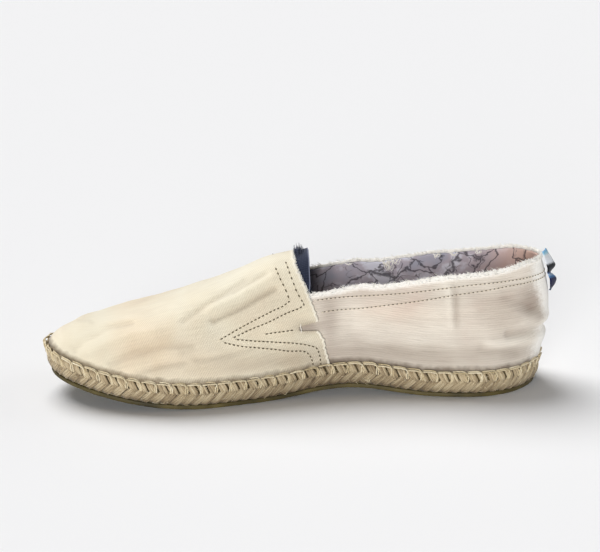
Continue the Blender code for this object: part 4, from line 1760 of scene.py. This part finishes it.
        def row_part(part: np.ndarray, length: float) -> np.ndarray:
            """Spreads grid rows so that one falls on the slit's end.

            Args:
                part: Rows as shares of the way to the toe.
                length: The slit's length as such a share.

            Returns:
                The rows' new places.
            """
            split = self.slit_rows / rows
            before = part / split * length
            after = length + (part - split) / (1.0 - split) * (1.0 - length)
            return np.where(part < split, before, after)

        def read(side: Side, across: np.ndarray, along: np.ndarray) -> dict:
            """Reads a side of the vamp.

            Args:
                side: Side of the shoe.
                across: From 0 on the ridge to 1 at the sole.
                along: From 0 at the free edge to 1 at the toe.

            Returns:
                Points and point values by name.
            """
            low, high, length = slits[side]
            part = row_part(along, length)
            column = (1.0 - across) * columns
            deep = ramp(part, 0.0, length)
            closing = eased(part, length, length * 2.2)
            low_turn = low[0] + (low[1] - low[0]) * deep
            open_turn = high[0] + (high[1] - high[0]) * deep
            spacing = 1.0 / columns
            high_turn = open_turn + (low_turn + spacing - open_turn) * closing
            base = np.where(
                column <= low_column + 0.5,
                column / low_column * low_turn,
                high_turn + (1.0 - high_turn) * (column - low_column - 1.0)
                / (columns - low_column - 1.0))
            turn = base if slit else column / columns
            start = self.edge_share(side, turn)
            height = self.form.wall(side, start, turn)[:, 2]
            tongue = self.tongue * eased(height, 50.0 * MM, 67.0 * MM) * (back > 0.0)
            teeth = (0.22 * np.sin(height / MM * 2.3)
                     + 0.18 * np.sin(height / MM * 3.7 + 1.0))
            reach = back + tongue + teeth * MM * slit
            start = start - reach / self.form.edges[side].length
            share = start + (1.0 - start) * part
            far = (share - start) * self.form.edges[side].length
            path = self.form.path(side, share, turn)
            flat = self.form.wall(side, share, turn)
            points = self.form.skin(side, share, turn, 0.0)
            points = points + self.form.outward(side, share, turn) * offset(flat)[:, None]
            foot = eased(turn, 0.05, 0.0)
            points[:, 2] -= self.foot_drop * foot
            top = self.form.path(side, share, np.ones_like(turn))
            signed = side.value * (top - path)
            fade = eased(share_along(flat[:, 0]), 0.92, 0.76)
            tones = self.form.tones(flat, self.form.relief(side, share, turn))
            tones.pop("pale")
            return {
                "points": points,
                **tones,
                "cloth": np.stack([flat[:, 0], signed, 0.0 * path], axis=1),
                "rim": ramp(far, self.raw_width * 0.42, 0.0),
                "low": path,
                "twill": 0.15 + 0.85 * fade,
            }

        def cut(across: float, along: float) -> bool:
            """Whether a face lies in the slit."""
            column = (1.0 - abs(across)) * columns
            return low_column < column < low_column + 1.0 and along < self.slit_rows / rows
        return self.shop.sheet(name, 2 * columns, rows, self._both_sides(read),
                               cut if slit else None)

    def build(self) -> list[bpy.types.Object]:
        """Builds the canvas and the linings.

        Returns:
            The four pieces.
        """
        quarter = self.shop.piece(
            self.quarter_mesh("canvas_quarter", 0.0, 0.0, self.quarter_columns,
                              self.quarter_rows),
            self.finishes.quarter, "canvas")
        self.shop.thicken(quarter, self.cloth)
        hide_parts("upper")
        vamp = self.shop.piece(
            self.vamp_mesh("canvas_vamp", lambda flat: np.full(len(flat), VAMP_WALL), 0.0,
                           self.vamp_columns, self.vamp_rows, True),
            self.finishes.vamp, "canvas")
        self.shop.thicken(vamp, self.vamp_cloth)
        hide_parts("upper")
        lining = self.shop.piece(
            self.quarter_mesh("quarter_lining", -self.cloth - 0.05 * MM, self.lining_drop,
                              220, 30),
            self.finishes.lining, "insole_cloth")
        self.shop.thicken(lining, self.lining)

        def inside(flat: np.ndarray) -> np.ndarray:
            """The navy lining's offset: behind the quarter's lining low down."""
            deep = -self.cloth - self.lining - 0.20 * MM
            return deep * eased(flat[:, 2], 58.5 * MM, 53.0 * MM)
        vamp_lining = self.shop.piece(
            self.vamp_mesh("vamp_lining", inside, 0.6 * MM, 60, 90, False),
            self.finishes.navy, "insole_cloth")
        self.shop.thicken(vamp_lining, 0.35 * MM)
        return [quarter, vamp, lining, vamp_lining]


@dataclass
class MachineStitches(Assembly):
    """Rows of lockstitch: thread that dips into a needle hole at each end."""

    pitch: float = 2.15 * MM
    throat_pitch: float = 3.3 * MM
    throat_start: float = 50.5 * MM
    thread_length: float = 1.05 * MM
    thread_radius: float = 0.20 * MM
    hole_radius: float = 0.72 * MM

    def build(self) -> list[bpy.types.Object]:
        """Builds the threads and their holes on both sides.

        Returns:
            The two pieces.
        """
        rng = np.random.default_rng(11)
        threads, away, holes = [], [], []
        for side in Side:
            for row in STITCH_ROWS:
                line = SurfaceRow(self.form, side, row.line, row.offset + 0.06 * MM)
                start = 0.5 * self.pitch
                while start < line.run[-1] - 0.5 * self.pitch:
                    middle = line.at(np.array([start]))[0][0]
                    on_throat = middle[2] > self.throat_start and row.offset > 0.0
                    pitch = self.throat_pitch if on_throat else self.pitch
                    boldness = row.boldness * (1.12 if on_throat else 1.0)
                    part = np.linspace(-0.5, 0.5, 5) * self.thread_length * pitch / self.pitch
                    points, out = line.at(start + part)
                    lift = np.array([-0.12, 0.08, 0.14, 0.08, -0.12]) * MM
                    threads.append(points + out * lift[:, None])
                    away.append(out[2])
                    hole, hole_out = line.at(np.array([start + 0.5 * pitch]))
                    ahead = line.at(np.array([start + 0.5 * pitch + 0.3 * MM]))[0]
                    holes.append((hole[0], hole_out[0], unit(ahead - hole)[0], boldness))
                    start += pitch
        paths = np.array(threads)
        radii = self.thread_radius * np.array([0.5, 1.0, 1.05, 1.0, 0.5])
        radii = np.tile(radii, (len(paths), 1))
        mesh = self.shop.threads("machine_stitches", paths, radii, np.array(away), 5, rng)
        thread = self.shop.piece(mesh, self.finishes.sewing_thread, "canvas")
        spots = self.shop.piece(self._holes(holes), self.finishes.hole, "canvas")
        return [thread, spots]

    def _holes(self, holes: list) -> bpy.types.Mesh:
        """Makes small lens-shaped spots, sunk to the cloth's face.

        Args:
            holes: Middle, outward and forward directions and boldness of each.

        Returns:
            The mesh.
        """
        work = bmesh.new()
        for middle, out, ahead, boldness in holes:
            across = np.cross(out, ahead)
            turn = Matrix((tuple(ahead), tuple(across), tuple(out))).transposed().to_4x4()
            long, wide = self.hole_radius * boldness, self.hole_radius * boldness * 0.52
            size = Matrix.Diagonal((long, wide, 0.20 * MM, 1.0))
            place = Matrix.Translation(Vector(middle + out * 0.03 * MM))
            bmesh.ops.create_uvsphere(work, u_segments=8, v_segments=4, radius=1.0,
                                      matrix=place @ turn @ size)
        return finished(work, "needle_holes")


@dataclass
class FrayedEdges(Assembly):
    """Short loose fibres along the raw edges of the canvas and the linings."""

    upper: CanvasUpper
    collar_fibres: int = 1500
    vamp_fibres: int = 520
    lining_fibres: int = 170

    def collar_anchors(self, rng: np.random.Generator, count: int, offset: float, depth: float
                       ) -> tuple[np.ndarray, np.ndarray, np.ndarray]:
        """Random places along the collar line.

        Args:
            rng: Source of the places.
            count: How many places on both sides together.
            offset: Depth of the cloth's face.
            depth: How far below the edge they reach, as a turn.

        Returns:
            Points, upward and outward directions.
        """
        parts = []
        for side in Side:
            share = rng.random(count // 2) * 0.545
            top = self.upper.top_turn(side, share) - depth * rng.random(count // 2)
            points = self.form.skin(side, share, top, offset)
            below = self.form.skin(side, share, top - 0.012, offset)
            parts.append((points, unit(points - below), self.form.outward(side, share, top)))
        return tuple(np.concatenate([part[number] for part in parts]) for number in range(3))

    def vamp_anchors(self, rng: np.random.Generator, count: int, offset: float, low: float
                     ) -> tuple[np.ndarray, np.ndarray, np.ndarray]:
        """Random places along the vamp's free edge.

        Args:
            rng: Source of the places.
            count: How many places on both sides together.
            offset: Depth of the cloth's face.
            low: The lowest turn.

        Returns:
            Points, backward and outward directions.
        """
        parts = []
        for side in Side:
            turn = low + rng.random(count // 2) * (1.0 - low)
            share = self.upper.edge_share(side, turn)
            points = self.form.skin(side, share, turn, offset)
            front = self.form.skin(side, share + 0.006, turn, offset)
            parts.append((points, unit(points - front), self.form.outward(side, share, turn)))
        return tuple(np.concatenate([part[number] for part in parts]) for number in range(3))

    @staticmethod
    def fibre_paths(rng: np.random.Generator, anchors: tuple, length: tuple[float, float],
                    lean: float, sink: float, curl: float) -> np.ndarray:
        """Curved paths that start in the cloth's edge and lean about.

        Args:
            rng: Source of the differences.
            anchors: Points, edge directions and outward directions.
            length: Shortest and longest fibre.
            lean: Sideways lean as a share of the length.
            sink: How far down in the cloth the fibres start.
            curl: Outward or inward curl as a share of the length.

        Returns:
            Paths of shape (fibres, 5, 3).
        """
        points, up, out = anchors
        count = len(points)
        across = np.cross(up, out)
        reach = length[0] + rng.random(count) ** 2 * (length[1] - length[0])
        side = (rng.random(count) - 0.5) * 2.0 * lean
        turn = (rng.random(count) - 0.5) * 2.0 * curl
        bend = (rng.random(count) - 0.5) * 2.0 * lean
        part = np.linspace(0.0, 1.0, 5)[None, :, None]
        start = points - up * sink + out * (rng.random((count, 1)) - 0.6) * 0.5 * MM
        rise = up[:, None] * part * (1.0 - 0.25 * part) * (reach + sink)[:, None, None]
        slant = across[:, None] * (part * side[:, None, None]
                                   + part ** 2 * bend[:, None, None]) * reach[:, None, None]
        roll = out[:, None] * part ** 2 * (turn * reach)[:, None, None]
        return start[:, None] + rise + slant + roll

    def build(self) -> list[bpy.types.Object]:
        """Builds the fibres of the collar, the vamp's edge and the linings.

        Returns:
            The three pieces.
        """
        rng = np.random.default_rng(23)
        collar = self.collar_anchors(rng, self.collar_fibres, -0.3 * MM, 0.0)
        paths = [self.fibre_paths(rng, collar, (0.4 * MM, 2.0 * MM), 1.1, 1.3 * MM, 0.9)]
        fuzz = self.collar_anchors(rng, self.collar_fibres, 0.55 * MM, 0.028)
        paths.append(self.fibre_paths(rng, fuzz, (0.4 * MM, 1.3 * MM), 1.6, 0.3 * MM, 0.4))
        away = [collar[2], fuzz[2]]
        vamp = self.vamp_anchors(rng, self.vamp_fibres, VAMP_WALL - 0.4 * MM, 0.40)
        paths.append(self.fibre_paths(rng, vamp, (0.35 * MM, 1.2 * MM), 0.9, 0.5 * MM, 0.4))
        away.append(vamp[2])
        every = np.concatenate(paths)
        radii = np.tile(np.array([0.20, 0.19, 0.16, 0.12, 0.06]) * MM, (len(every), 1))
        mesh = self.shop.threads("frayed_canvas", every, radii, np.concatenate(away), 3, rng)
        pale = self.shop.piece(mesh, self.finishes.raw_cotton, "canvas")
        throat, back, out = self.vamp_anchors(rng, 2 * self.lining_fibres, -0.1 * MM, 0.93)
        throat = throat + back * rng.random((len(throat), 1)) * 5.0 * MM
        lining = tuple(np.concatenate(both) for both in zip(
            self.vamp_anchors(rng, self.lining_fibres, -0.2 * MM, 0.72),
            (throat, unit(0.45 * back + out), out)))
        dark_paths = self.fibre_paths(rng, lining, (0.8 * MM, 4.0 * MM), 0.9, 0.4 * MM, 0.6)
        radii = np.tile(np.array([0.17, 0.16, 0.14, 0.11, 0.06]) * MM, (len(dark_paths), 1))
        mesh = self.shop.threads("frayed_lining", dark_paths, radii, lining[2], 3, rng)
        dark = self.shop.piece(mesh, self.finishes.navy_fibre, "insole_cloth")
        return [pale, dark, self.loose_threads(rng)]

    def loose_threads(self, rng: np.random.Generator) -> bpy.types.Object:
        """Builds longer white threads over the linings and at the slit's end.

        Args:
            rng: Source of their differences.

        Returns:
            The piece.
        """
        paths, away = [], []
        tangles = ((77.0, 7.0, 7), (72.5, 4.0, 3), (52.0, 3.4, 4), (43.0, 2.6, 3),
                   (98.0, 2.4, 3), (30.0, 2.2, 3))
        for along, drop, count in tangles:
            top = float(line_height(COLLAR_LINE, along))
            for _ in range(count):
                spread = (rng.random(5) - 0.5) * 0.75 * drop
                deep = drop * (0.55 + 0.45 * rng.random())
                line = places((along + spread[0] + 1.4, top - 0.4),
                              (along + spread[1] + 1.0, top - 0.55 * deep),
                              (along + spread[2], top - deep),
                              (along + spread[3] - 1.0, top - 0.50 * deep),
                              (along + spread[4] - 1.4, top - 0.3))
                row = SurfaceRow(self.form, Side.LATERAL, line, -1.65 * MM, 40)
                points, out = row.at(np.linspace(0.0, row.run[-1], 9))
                paths.append(points)
                away.append(out[4])
        tail = places((126.2, 34.6), (126.0, 36.0), (126.4, 37.4), (126.1, 38.8))
        for side in Side:
            row = SurfaceRow(self.form, side, tail, VAMP_WALL + 0.15 * MM, 40)
            points, out = row.at(np.linspace(0.0, row.run[-1], 9))
            paths.append(points)
            away.append(out[4])
        every = np.array(paths)
        radii = np.full(every.shape[:2], 0.20 * MM)
        mesh = self.shop.threads("loose_threads", every, radii, np.array(away), 5, rng)
        return self.shop.piece(mesh, self.finishes.raw_cotton, "canvas")


@dataclass
class JuteSole(Assembly):
    """Braided jute rope sole with a blanket stitch along its upper edge."""

    pitch: float = 5.1 * MM
    yarn_radius: float = 0.88 * MM
    yarn_gap: float = 1.12 * MM
    leaf_depth: float = 1.75 * MM
    # Where the braid's painted shade is deepest, at the waist
    waist_place: float = 0.44
    waist_reach: float = 0.24
    stitch_pitch: float = 7.5 * MM
    stitch_radius: float = 0.37 * MM
    strand_gap: float = 0.95 * MM
    fibres: int = 420
    tuft_fibres: int = 26
    tuft_place: float = 92.0 * MM

    def __post_init__(self) -> None:
        """Works out the closed run along the sole's edge."""
        self.loop = self.form.sole_loop()

    def core(self) -> bpy.types.Object:
        """Builds the dark rope behind the braid's gaps.

        Returns:
            The piece. Its dark colours are painted shade in the braid's gaps.
        """
        def margin(along: np.ndarray) -> np.ndarray:
            """The core's edge inside the sole's."""
            return 0.0 * along + JUTE_TAPER * 0.7 + 1.5 * MM
        mesh = sole_slab(self.shop, self.form, "shaded_jute_core", margin, JUTE_BOTTOM + 0.1 * MM,
                         JUTE_TOP - 0.5 * MM, 0.9 * MM)
        made = self.shop.piece(mesh, self.finishes.shaded_jute_core, "jute_braid")
        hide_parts("jute_sole")
        return made

    def braid(self, rng: np.random.Generator) -> bpy.types.Object:
        """Builds two rows of leaves of three yarns that meet in a groove.

        Args:
            rng: Source of the differences.

        Returns:
            The piece.
        """
        leaves = round(self.loop.length / self.pitch)
        pitch = self.loop.length / leaves
        part = np.linspace(0.0, 1.0, 7)
        swell = np.sin(math.pi * np.clip(part * 0.94 + 0.03, 0, 1)) ** 0.55
        paths, radii, away = [], [], []
        for leaf in range(leaves):
            jitter = rng.normal(0.0, 0.10, 4) * MM
            for yarn in (-1, 0, 1):
                shift = yarn * self.yarn_gap
                run = leaf * pitch + (part - 0.5) * pitch * 1.35 - shift * 0.80 + jitter[0]
                high = (0.02 + 0.56 * part) * JUTE_THICKNESS + shift * 0.55 + jitter[1]
                out = -self.leaf_depth + swell * (1.10 - 0.16 * abs(yarn)) * MM
                paths.append(self.loop.at(run, np.clip(high, 0.35 * MM, None), out))
                radii.append(self.yarn_radius * (0.45 + 0.62 * swell))
                away.append(self.loop.facing(np.array([run[3]]))[0])
            for yarn in (-1, 0, 1):
                shift = yarn * self.yarn_gap
                run = (leaf + 0.42) * pitch + (0.30 - 0.62 * part) * pitch
                run = run - shift + jitter[2]
                high = (0.45 + 0.53 * part ** 0.9) * JUTE_THICKNESS - shift * 0.10 + jitter[3]
                over = eased(part, 0.72, 1.0)
                out = (-self.leaf_depth + swell * (1.05 - 0.14 * abs(yarn)) * MM
                       - over * 0.9 * MM)
                paths.append(self.loop.at(run, high, out))
                radii.append(self.yarn_radius * (0.48 + 0.56 * swell))
                away.append(self.loop.facing(np.array([run[3]]))[0])
        every = np.array(paths)
        # Painted shade: darker low on the braid, at the waist, at the leaves' thin ends and just
        # under the canvas
        above = every[..., 2] - ground(every[..., 0]) - JUTE_BOTTOM
        shades = 0.66 * ramp(above, 0.55 * JUTE_THICKNESS, -1.0 * MM)
        waist = 1.0 - np.minimum(1.0, abs(share_along(every[..., 0]) - self.waist_place)
                                 / self.waist_reach)
        shades += 0.22 * waist
        shades += 0.45 * (1.0 - np.tile(swell, (len(every), 1)))
        shades += 0.35 * ramp(above, 0.86 * JUTE_THICKNESS, 1.05 * JUTE_THICKNESS)
        mesh = self.shop.threads("jute_braid", every, np.array(radii), np.array(away), 6, rng,
                                 np.clip(shades, 0.0, 1.0))
        return self.shop.piece(mesh, self.finishes.jute, "jute_braid")

    def blanket_stitch(self, rng: np.random.Generator) -> bpy.types.Object:
        """Builds the doubled thread along the top edge that drops into the braid.

        Args:
            rng: Source of the differences.

        Returns:
            The piece.
        """
        count = round(self.loop.length / self.stitch_pitch)
        pitch = self.loop.length / count
        top = JUTE_THICKNESS
        paths, away = [], []
        for number in range(count):
            for strand in (-0.5, 0.5):
                apart = strand * self.strand_gap
                shake = rng.normal(0.0, 0.16, 5) * MM
                start = number * pitch
                steps = np.array([-0.98, -0.75, -0.45, -0.16, 0.02, 0.07, 0.05, 0.02])
                runs = start + steps * pitch
                runs[5:] += apart + shake[0]
                runs[2:5] += shake[1]
                highs = np.array([-0.5, -0.05, 0.20, 0.10, -0.55, -2.5, -4.6, -6.0]) * MM + top
                highs[:4] += apart * 0.55 + shake[2]
                outs = np.array([-1.2, -0.40, -0.10, 0.05, 0.15, 0.05, -0.15, -0.95]) * MM
                outs[:5] -= apart * 0.7
                fine = np.linspace(0.0, 7.0, 12)
                run, high, out = (smooth_through(range(8), column, fine)
                                  for column in (runs, highs, outs))
                paths.append(self.loop.at(run, high, out))
                away.append(self.loop.facing(np.array([start]))[0])
        every = np.array(paths)
        radii = np.full(every.shape[:2], self.stitch_radius)
        radii[:, 0] *= 0.6
        radii[:, -1] *= 0.5
        mesh = self.shop.threads("blanket_stitch", every, radii, np.array(away), 5, rng)
        return self.shop.piece(mesh, self.finishes.jute_thread, "jute_braid")

    def stray_fibres(self, rng: np.random.Generator) -> bpy.types.Object:
        """Builds the rope's loose hairs and one small tuft at the waist.

        Args:
            rng: Source of the differences.

        Returns:
            The piece.
        """
        paths, away = [], []
        tuft = self.tuft_run()
        runs = np.concatenate([rng.random(self.fibres) * self.loop.length,
                               tuft + rng.normal(0.0, 0.5, self.tuft_fibres) * MM])
        for number, start in enumerate(runs):
            in_tuft = number >= self.fibres
            height = (1.0 + rng.random() * 0.5) * MM if in_tuft else rng.random() * JUTE_THICKNESS
            length = (1.6 + 2.4 * rng.random() ** 2) * MM
            slope = rng.random() * 2.0 * math.pi
            if in_tuft:
                slope = math.radians(75.0 + 50.0 * rng.random())
            part = np.linspace(0.0, 1.0, 5)
            bend = rng.normal(0.0, 0.6)
            run = start + length * part * math.cos(slope) + bend * length * part ** 2 * 0.3
            high = height + length * part * math.sin(slope) * 0.8
            high = np.clip(high, 0.3 * MM, JUTE_THICKNESS + 1.2 * MM)
            out = (-0.7 + 0.5 * rng.random()) * MM + length * 0.28 * np.sin(math.pi * part * 0.8)
            paths.append(self.loop.at(run, high, out * 0.8))
            away.append(self.loop.facing(np.array([start]))[0])
        every = np.array(paths)
        radii = np.tile(np.array([0.10, 0.10, 0.09, 0.07, 0.04]) * MM, (len(every), 1))
        mesh = self.shop.threads("jute_fibres", every, radii, np.array(away), 3, rng)
        return self.shop.piece(mesh, self.finishes.jute_thread, "jute_braid")

    def tuft_run(self) -> float:
        """Finds the small tuft on the medial waist.

        Returns:
            Its run along the edge.
        """
        x = place_x(self.tuft_place / SOLE_LENGTH)
        near = self.loop.run < self.loop.length * 0.5
        order = np.argmin(np.abs(self.loop.columns[0][near] - x))
        return float(self.loop.run[near][order])

    def build(self) -> list[bpy.types.Object]:
        """Builds the core, the braid, the stitch and the fibres.

        Returns:
            The four pieces.
        """
        rng = np.random.default_rng(37)
        return [self.core(), self.braid(rng), self.blanket_stitch(rng), self.stray_fibres(rng)]


def sole_slab(shop: Workshop, form: ShoeForm, name: str, margin: Callable, low: float,
              high: float, round_by: float, toe_gap: float = 0.0) -> bpy.types.Mesh:
    """A slab with the sole's plan that follows the ground line.

    Args:
        shop: Workshop that makes the sheet.
        form: The shoe's form.
        name: Name of the mesh.
        margin: How far its edge lies inside the sole's, by the place along it.
        low: Height of its underside above the ground line.
        high: Height of its top.
        round_by: Radius of its rounded edges.
        toe_gap: How far its toe is drawn back besides.

    Returns:
        The mesh as a closed solid.
    """
    def place(across: np.ndarray, up: np.ndarray) -> tuple[np.ndarray, dict]:
        """Maps the grid onto the slab's top.

        Args:
            across: From -1 on the medial side to 1 on the lateral one.
            up: From 0 at the heel to 1 at the toe.

        Returns:
            Points, and point values by name.
        """
        edges = []
        for side in Side:
            edge = form.edges[side]
            inset = margin(share_along(edge.x))
            edges.append((np.interp(up, form.shares, edge.x - edge.out_x * inset),
                          np.interp(up, form.shares, edge.y - edge.out_y * inset)))
        part = 0.5 + 0.5 * across
        x = edges[0][0] * (1.0 - part) + edges[1][0] * part
        y = edges[0][1] * (1.0 - part) + edges[1][1] * part
        x = x + toe_gap * eased(share_along(x), INSOLE_TOE_START, 1.0)
        points = np.stack([x, y, ground(x) + high], axis=1)
        return points, {"lay": points.copy(), "tone": 0.0 * x + 0.5}
    mesh = shop.sheet(name, 16, 220, place)
    work = bmesh.new()
    work.from_mesh(mesh)
    if sum(face.normal.z for face in work.faces) < 0.0:
        bmesh.ops.reverse_faces(work, faces=work.faces)
    top = list(work.faces)
    pulled = bmesh.ops.extrude_face_region(work, geom=top)
    moved = [item for item in pulled["geom"] if isinstance(item, bmesh.types.BMVert)]
    bmesh.ops.translate(work, verts=moved, vec=(0.0, 0.0, low - high))
    bmesh.ops.recalc_face_normals(work, faces=work.faces)
    rims = [edge for edge in work.edges if edge.calc_face_angle(0.0) > math.radians(60)]
    bmesh.ops.bevel(work, geom=rims, offset=round_by, segments=3, profile=0.5, affect="EDGES",
                    material=-1, offset_type="OFFSET")
    work.to_mesh(mesh)
    work.free()
    return mesh


@dataclass
class FootbedAndOutsole(Assembly):
    """Covered footbed inside the shoe and the rubber sheet under the rope."""

    def build(self) -> list[bpy.types.Object]:
        """Builds the insole and the outsole.

        Returns:
            The two pieces.
        """
        insole = self.shop.piece(
            sole_slab(self.shop, self.form, "insole_cover", insole_margin, UPPER_BOTTOM,
                      UPPER_BOTTOM + INSOLE_THICKNESS, 0.8 * MM, INSOLE_TOE_GAP),
            self.finishes.insole, "insole_cloth")
        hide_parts("insole")
        outsole = self.shop.piece(
            sole_slab(self.shop, self.form, "rubber_sheet",
                      lambda along: 0.0 * along + OUTSOLE_INSET, 0.0, OUTSOLE_THICKNESS,
                      0.5 * MM),
            self.finishes.rubber, "outsole_rubber")
        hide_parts("outsole")
        return [insole, outsole]


class RibbonRow(NamedTuple):
    """Heights of the ribbon's near and far edges, and how far each stands off the heel.

    All but the share of the way down are in millimetres.
    """

    down: float
    near_height: float
    near_out: float
    far_height: float
    far_out: float


@dataclass
class RibbonLoop(Assembly):
    """Ribbon sewn to the top of the heel, standing out in two turned lobes."""

    cloth: float = 0.45 * MM
    half_width: float = 4.3 * MM
    rows: tuple[RibbonRow, ...] = (
        RibbonRow(0.00, 68.9, 0.5, 68.3, 3.6), RibbonRow(0.13, 66.8, 0.6, 65.6, 4.7),
        RibbonRow(0.30, 62.8, 1.0, 61.6, 6.0), RibbonRow(0.40, 60.0, 1.2, 59.0, 6.5),
        RibbonRow(0.50, 57.6, 0.6, 55.6, 3.3), RibbonRow(0.58, 56.4, 0.8, 54.4, 4.2),
        RibbonRow(0.70, 54.2, 1.2, 52.2, 5.8), RibbonRow(0.80, 52.1, 1.0, 49.8, 5.0),
        RibbonRow(1.00, 48.3, 0.5, 45.7, 1.4),
    )

    def build(self) -> list[bpy.types.Object]:
        """Builds the ribbon.

        Returns:
            The piece, in a list.
        """
        turns = np.linspace(0.0, 1.0, 60)
        back = self.form.skin(Side.MEDIAL, np.zeros(60), turns)
        order = np.argsort(back[:, 2])

        def place(across: np.ndarray, down: np.ndarray) -> tuple[np.ndarray, dict]:
            """Maps the grid onto the turned lobes.

            Args:
                across: From -1 at the near edge to 1 at the far one.
                down: From 0 at the top to 1 at the bottom.

            Returns:
                Points, and point values by name.
            """
            columns = [smooth_through([row.down for row in self.rows],
                                      [row[number] for row in self.rows], down)
                       for number in range(1, 5)]
            near_height, near_out, far_height, far_out = columns
            part = 0.5 + 0.5 * across
            height = (near_height * (1.0 - part) + far_height * part) * MM
            out = (near_out * (1.0 - part) + far_out * part) * MM
            cup = 0.35 * MM * (1.0 - across ** 2)
            x = np.interp(height, back[order, 2], back[order, 0]) + out + cup
            points = np.stack([x, across * self.half_width, height], axis=1)
            return points, {"cloth": np.stack([down, across, 0.0 * down], axis=1)}
        mesh = self.shop.sheet("ribbon_loop", 10, 64, place)
        made = self.shop.piece(mesh, self.finishes.ribbon, "ribbon")
        self.shop.thicken(made, self.cloth, offset=0.0)
        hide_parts("pull_loop")
        return [made]


@dataclass
class Studio:
    """Pale floor, soft lights and the photograph's camera."""

    azimuth: float = -3.0
    elevation: float = 18.0
    roll: float = -0.4
    distance: float = 0.80
    target_height: float = 0.035
    pixels_per_metre: float = 1937.0
    picture: tuple[int, int] = (600, 552)
    target_pixel: tuple[float, float] = (302.5, 314.7)
    sensor: float = 36.0
    floor_size: float = 14.0
    air_strength: float = 0.07

    def camera(self) -> None:
        """Adds the camera at the photograph's angle."""
        azimuth, elevation, roll = (math.radians(value) for value
                                    in (self.azimuth, self.elevation, self.roll))
        back = Vector((math.sin(azimuth) * math.cos(elevation),
                       -math.cos(azimuth) * math.cos(elevation), math.sin(elevation)))
        right = Vector((math.cos(azimuth), math.sin(azimuth), 0.0))
        up = back.cross(right)
        rolled_right = right * math.cos(roll) + up * math.sin(roll)
        rolled_up = up * math.cos(roll) - right * math.sin(roll)
        data = bpy.data.cameras.new("camera")
        data.sensor_width = self.sensor
        width = self.picture[0] / self.pixels_per_metre
        data.lens = self.sensor * self.distance / width
        data.shift_x = (0.5 * self.picture[0] - self.target_pixel[0]) / self.picture[0]
        data.shift_y = (self.target_pixel[1] - 0.5 * self.picture[1]) / self.picture[0]
        data.clip_start = 0.01
        turn = Matrix((rolled_right, rolled_up, back)).transposed().to_4x4()
        place = Vector((0.0, 0.0, self.target_height)) + back * self.distance
        made = bpy.data.objects.new("camera", data)
        made.matrix_world = Matrix.Translation(place) @ turn
        bpy.context.scene.collection.objects.link(made)
        bpy.context.scene.camera = made

    def floor(self) -> None:
        """Adds the floor, which is not part of the shoe."""
        work = bmesh.new()
        bmesh.ops.create_grid(work, x_segments=2, y_segments=2, size=0.5 * self.floor_size)
        mesh = finished(work, "studio_floor")
        made = bpy.data.objects.new("studio_floor", mesh)
        mesh.materials.append(PaperFinish().make())
        bpy.context.scene.collection.objects.link(made)

    def light(self, name: str, place: tuple[float, float, float], spread: float, power: float,
              code: str) -> None:
        """Adds a wide soft light that shines evenly on the floor, aimed at the shoe.

        Args:
            name: Name of the light.
            place: Where it stands, seen from the shoe.
            spread: Width of the light in the sky, in degrees.
            power: Its power in watts a square metre.
            code: Its colour as an sRGB hex code.
        """
        data = bpy.data.lights.new(name, "SUN")
        data.angle = math.radians(spread)
        data.energy = power
        data.color = colour(code)[:3]
        made = bpy.data.objects.new(name, data)
        turn = (-Vector(place)).to_track_quat("-Z", "Y").to_matrix().to_4x4()
        made.matrix_world = Matrix.Translation(Vector(place)) @ turn
        bpy.context.scene.collection.objects.link(made)

    def build(self) -> None:
        """Adds the floor, lights and camera."""
        self.floor()
        world = bpy.data.worlds.new("studio_air")
        world.use_nodes = True
        air = world.node_tree.nodes["Background"]
        air.inputs["Color"].default_value = colour("#ffffff")
        air.inputs["Strength"].default_value = self.air_strength
        bpy.context.scene.world = world
        bpy.context.scene.view_settings.view_transform = "Standard"
        self.light("overhead", (-0.50, 0.75, 1.25), 44.0, 2.95, "#ffffff")
        self.light("front_fill", (-0.45, -1.60, 0.32), 24.0, 2.10, "#ffffff")
        self.light("heel_side", (1.20, 0.30, 0.36), 30.0, 0.55, "#ffffff")
        self.camera()


def main() -> None:
    """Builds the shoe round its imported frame."""
    logging.basicConfig(level=logging.INFO, format="%(name)s %(message)s")
    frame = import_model()
    LOG.info("frame: %s", ", ".join(sorted(str(key) for key in frame)))
    outsole_low, outsole_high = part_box("outsole")
    loop_low, loop_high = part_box("pull_loop")
    shift = Vector((0.5 * (outsole_low.x + outsole_high.x), 0.5 * (loop_low.y + loop_high.y), 0.0))
    Studio().build()
    form = ShoeForm()
    shop = Workshop(shift)
    finishes = Finishes()
    upper = CanvasUpper(form, shop, finishes)
    parts = {
        "canvas and linings": upper.build(),
        "machine stitches": MachineStitches(form, shop, finishes).build(),
        "frayed edges": FrayedEdges(form, shop, finishes, upper).build(),
        "jute sole": JuteSole(form, shop, finishes).build(),
        "footbed and outsole": FootbedAndOutsole(form, shop, finishes).build(),
        "ribbon loop": RibbonLoop(form, shop, finishes).build(),
    }
    for name, pieces in parts.items():
        LOG.info("%s: %d pieces", name, len(pieces))


if __name__ == "__main__":
    main()
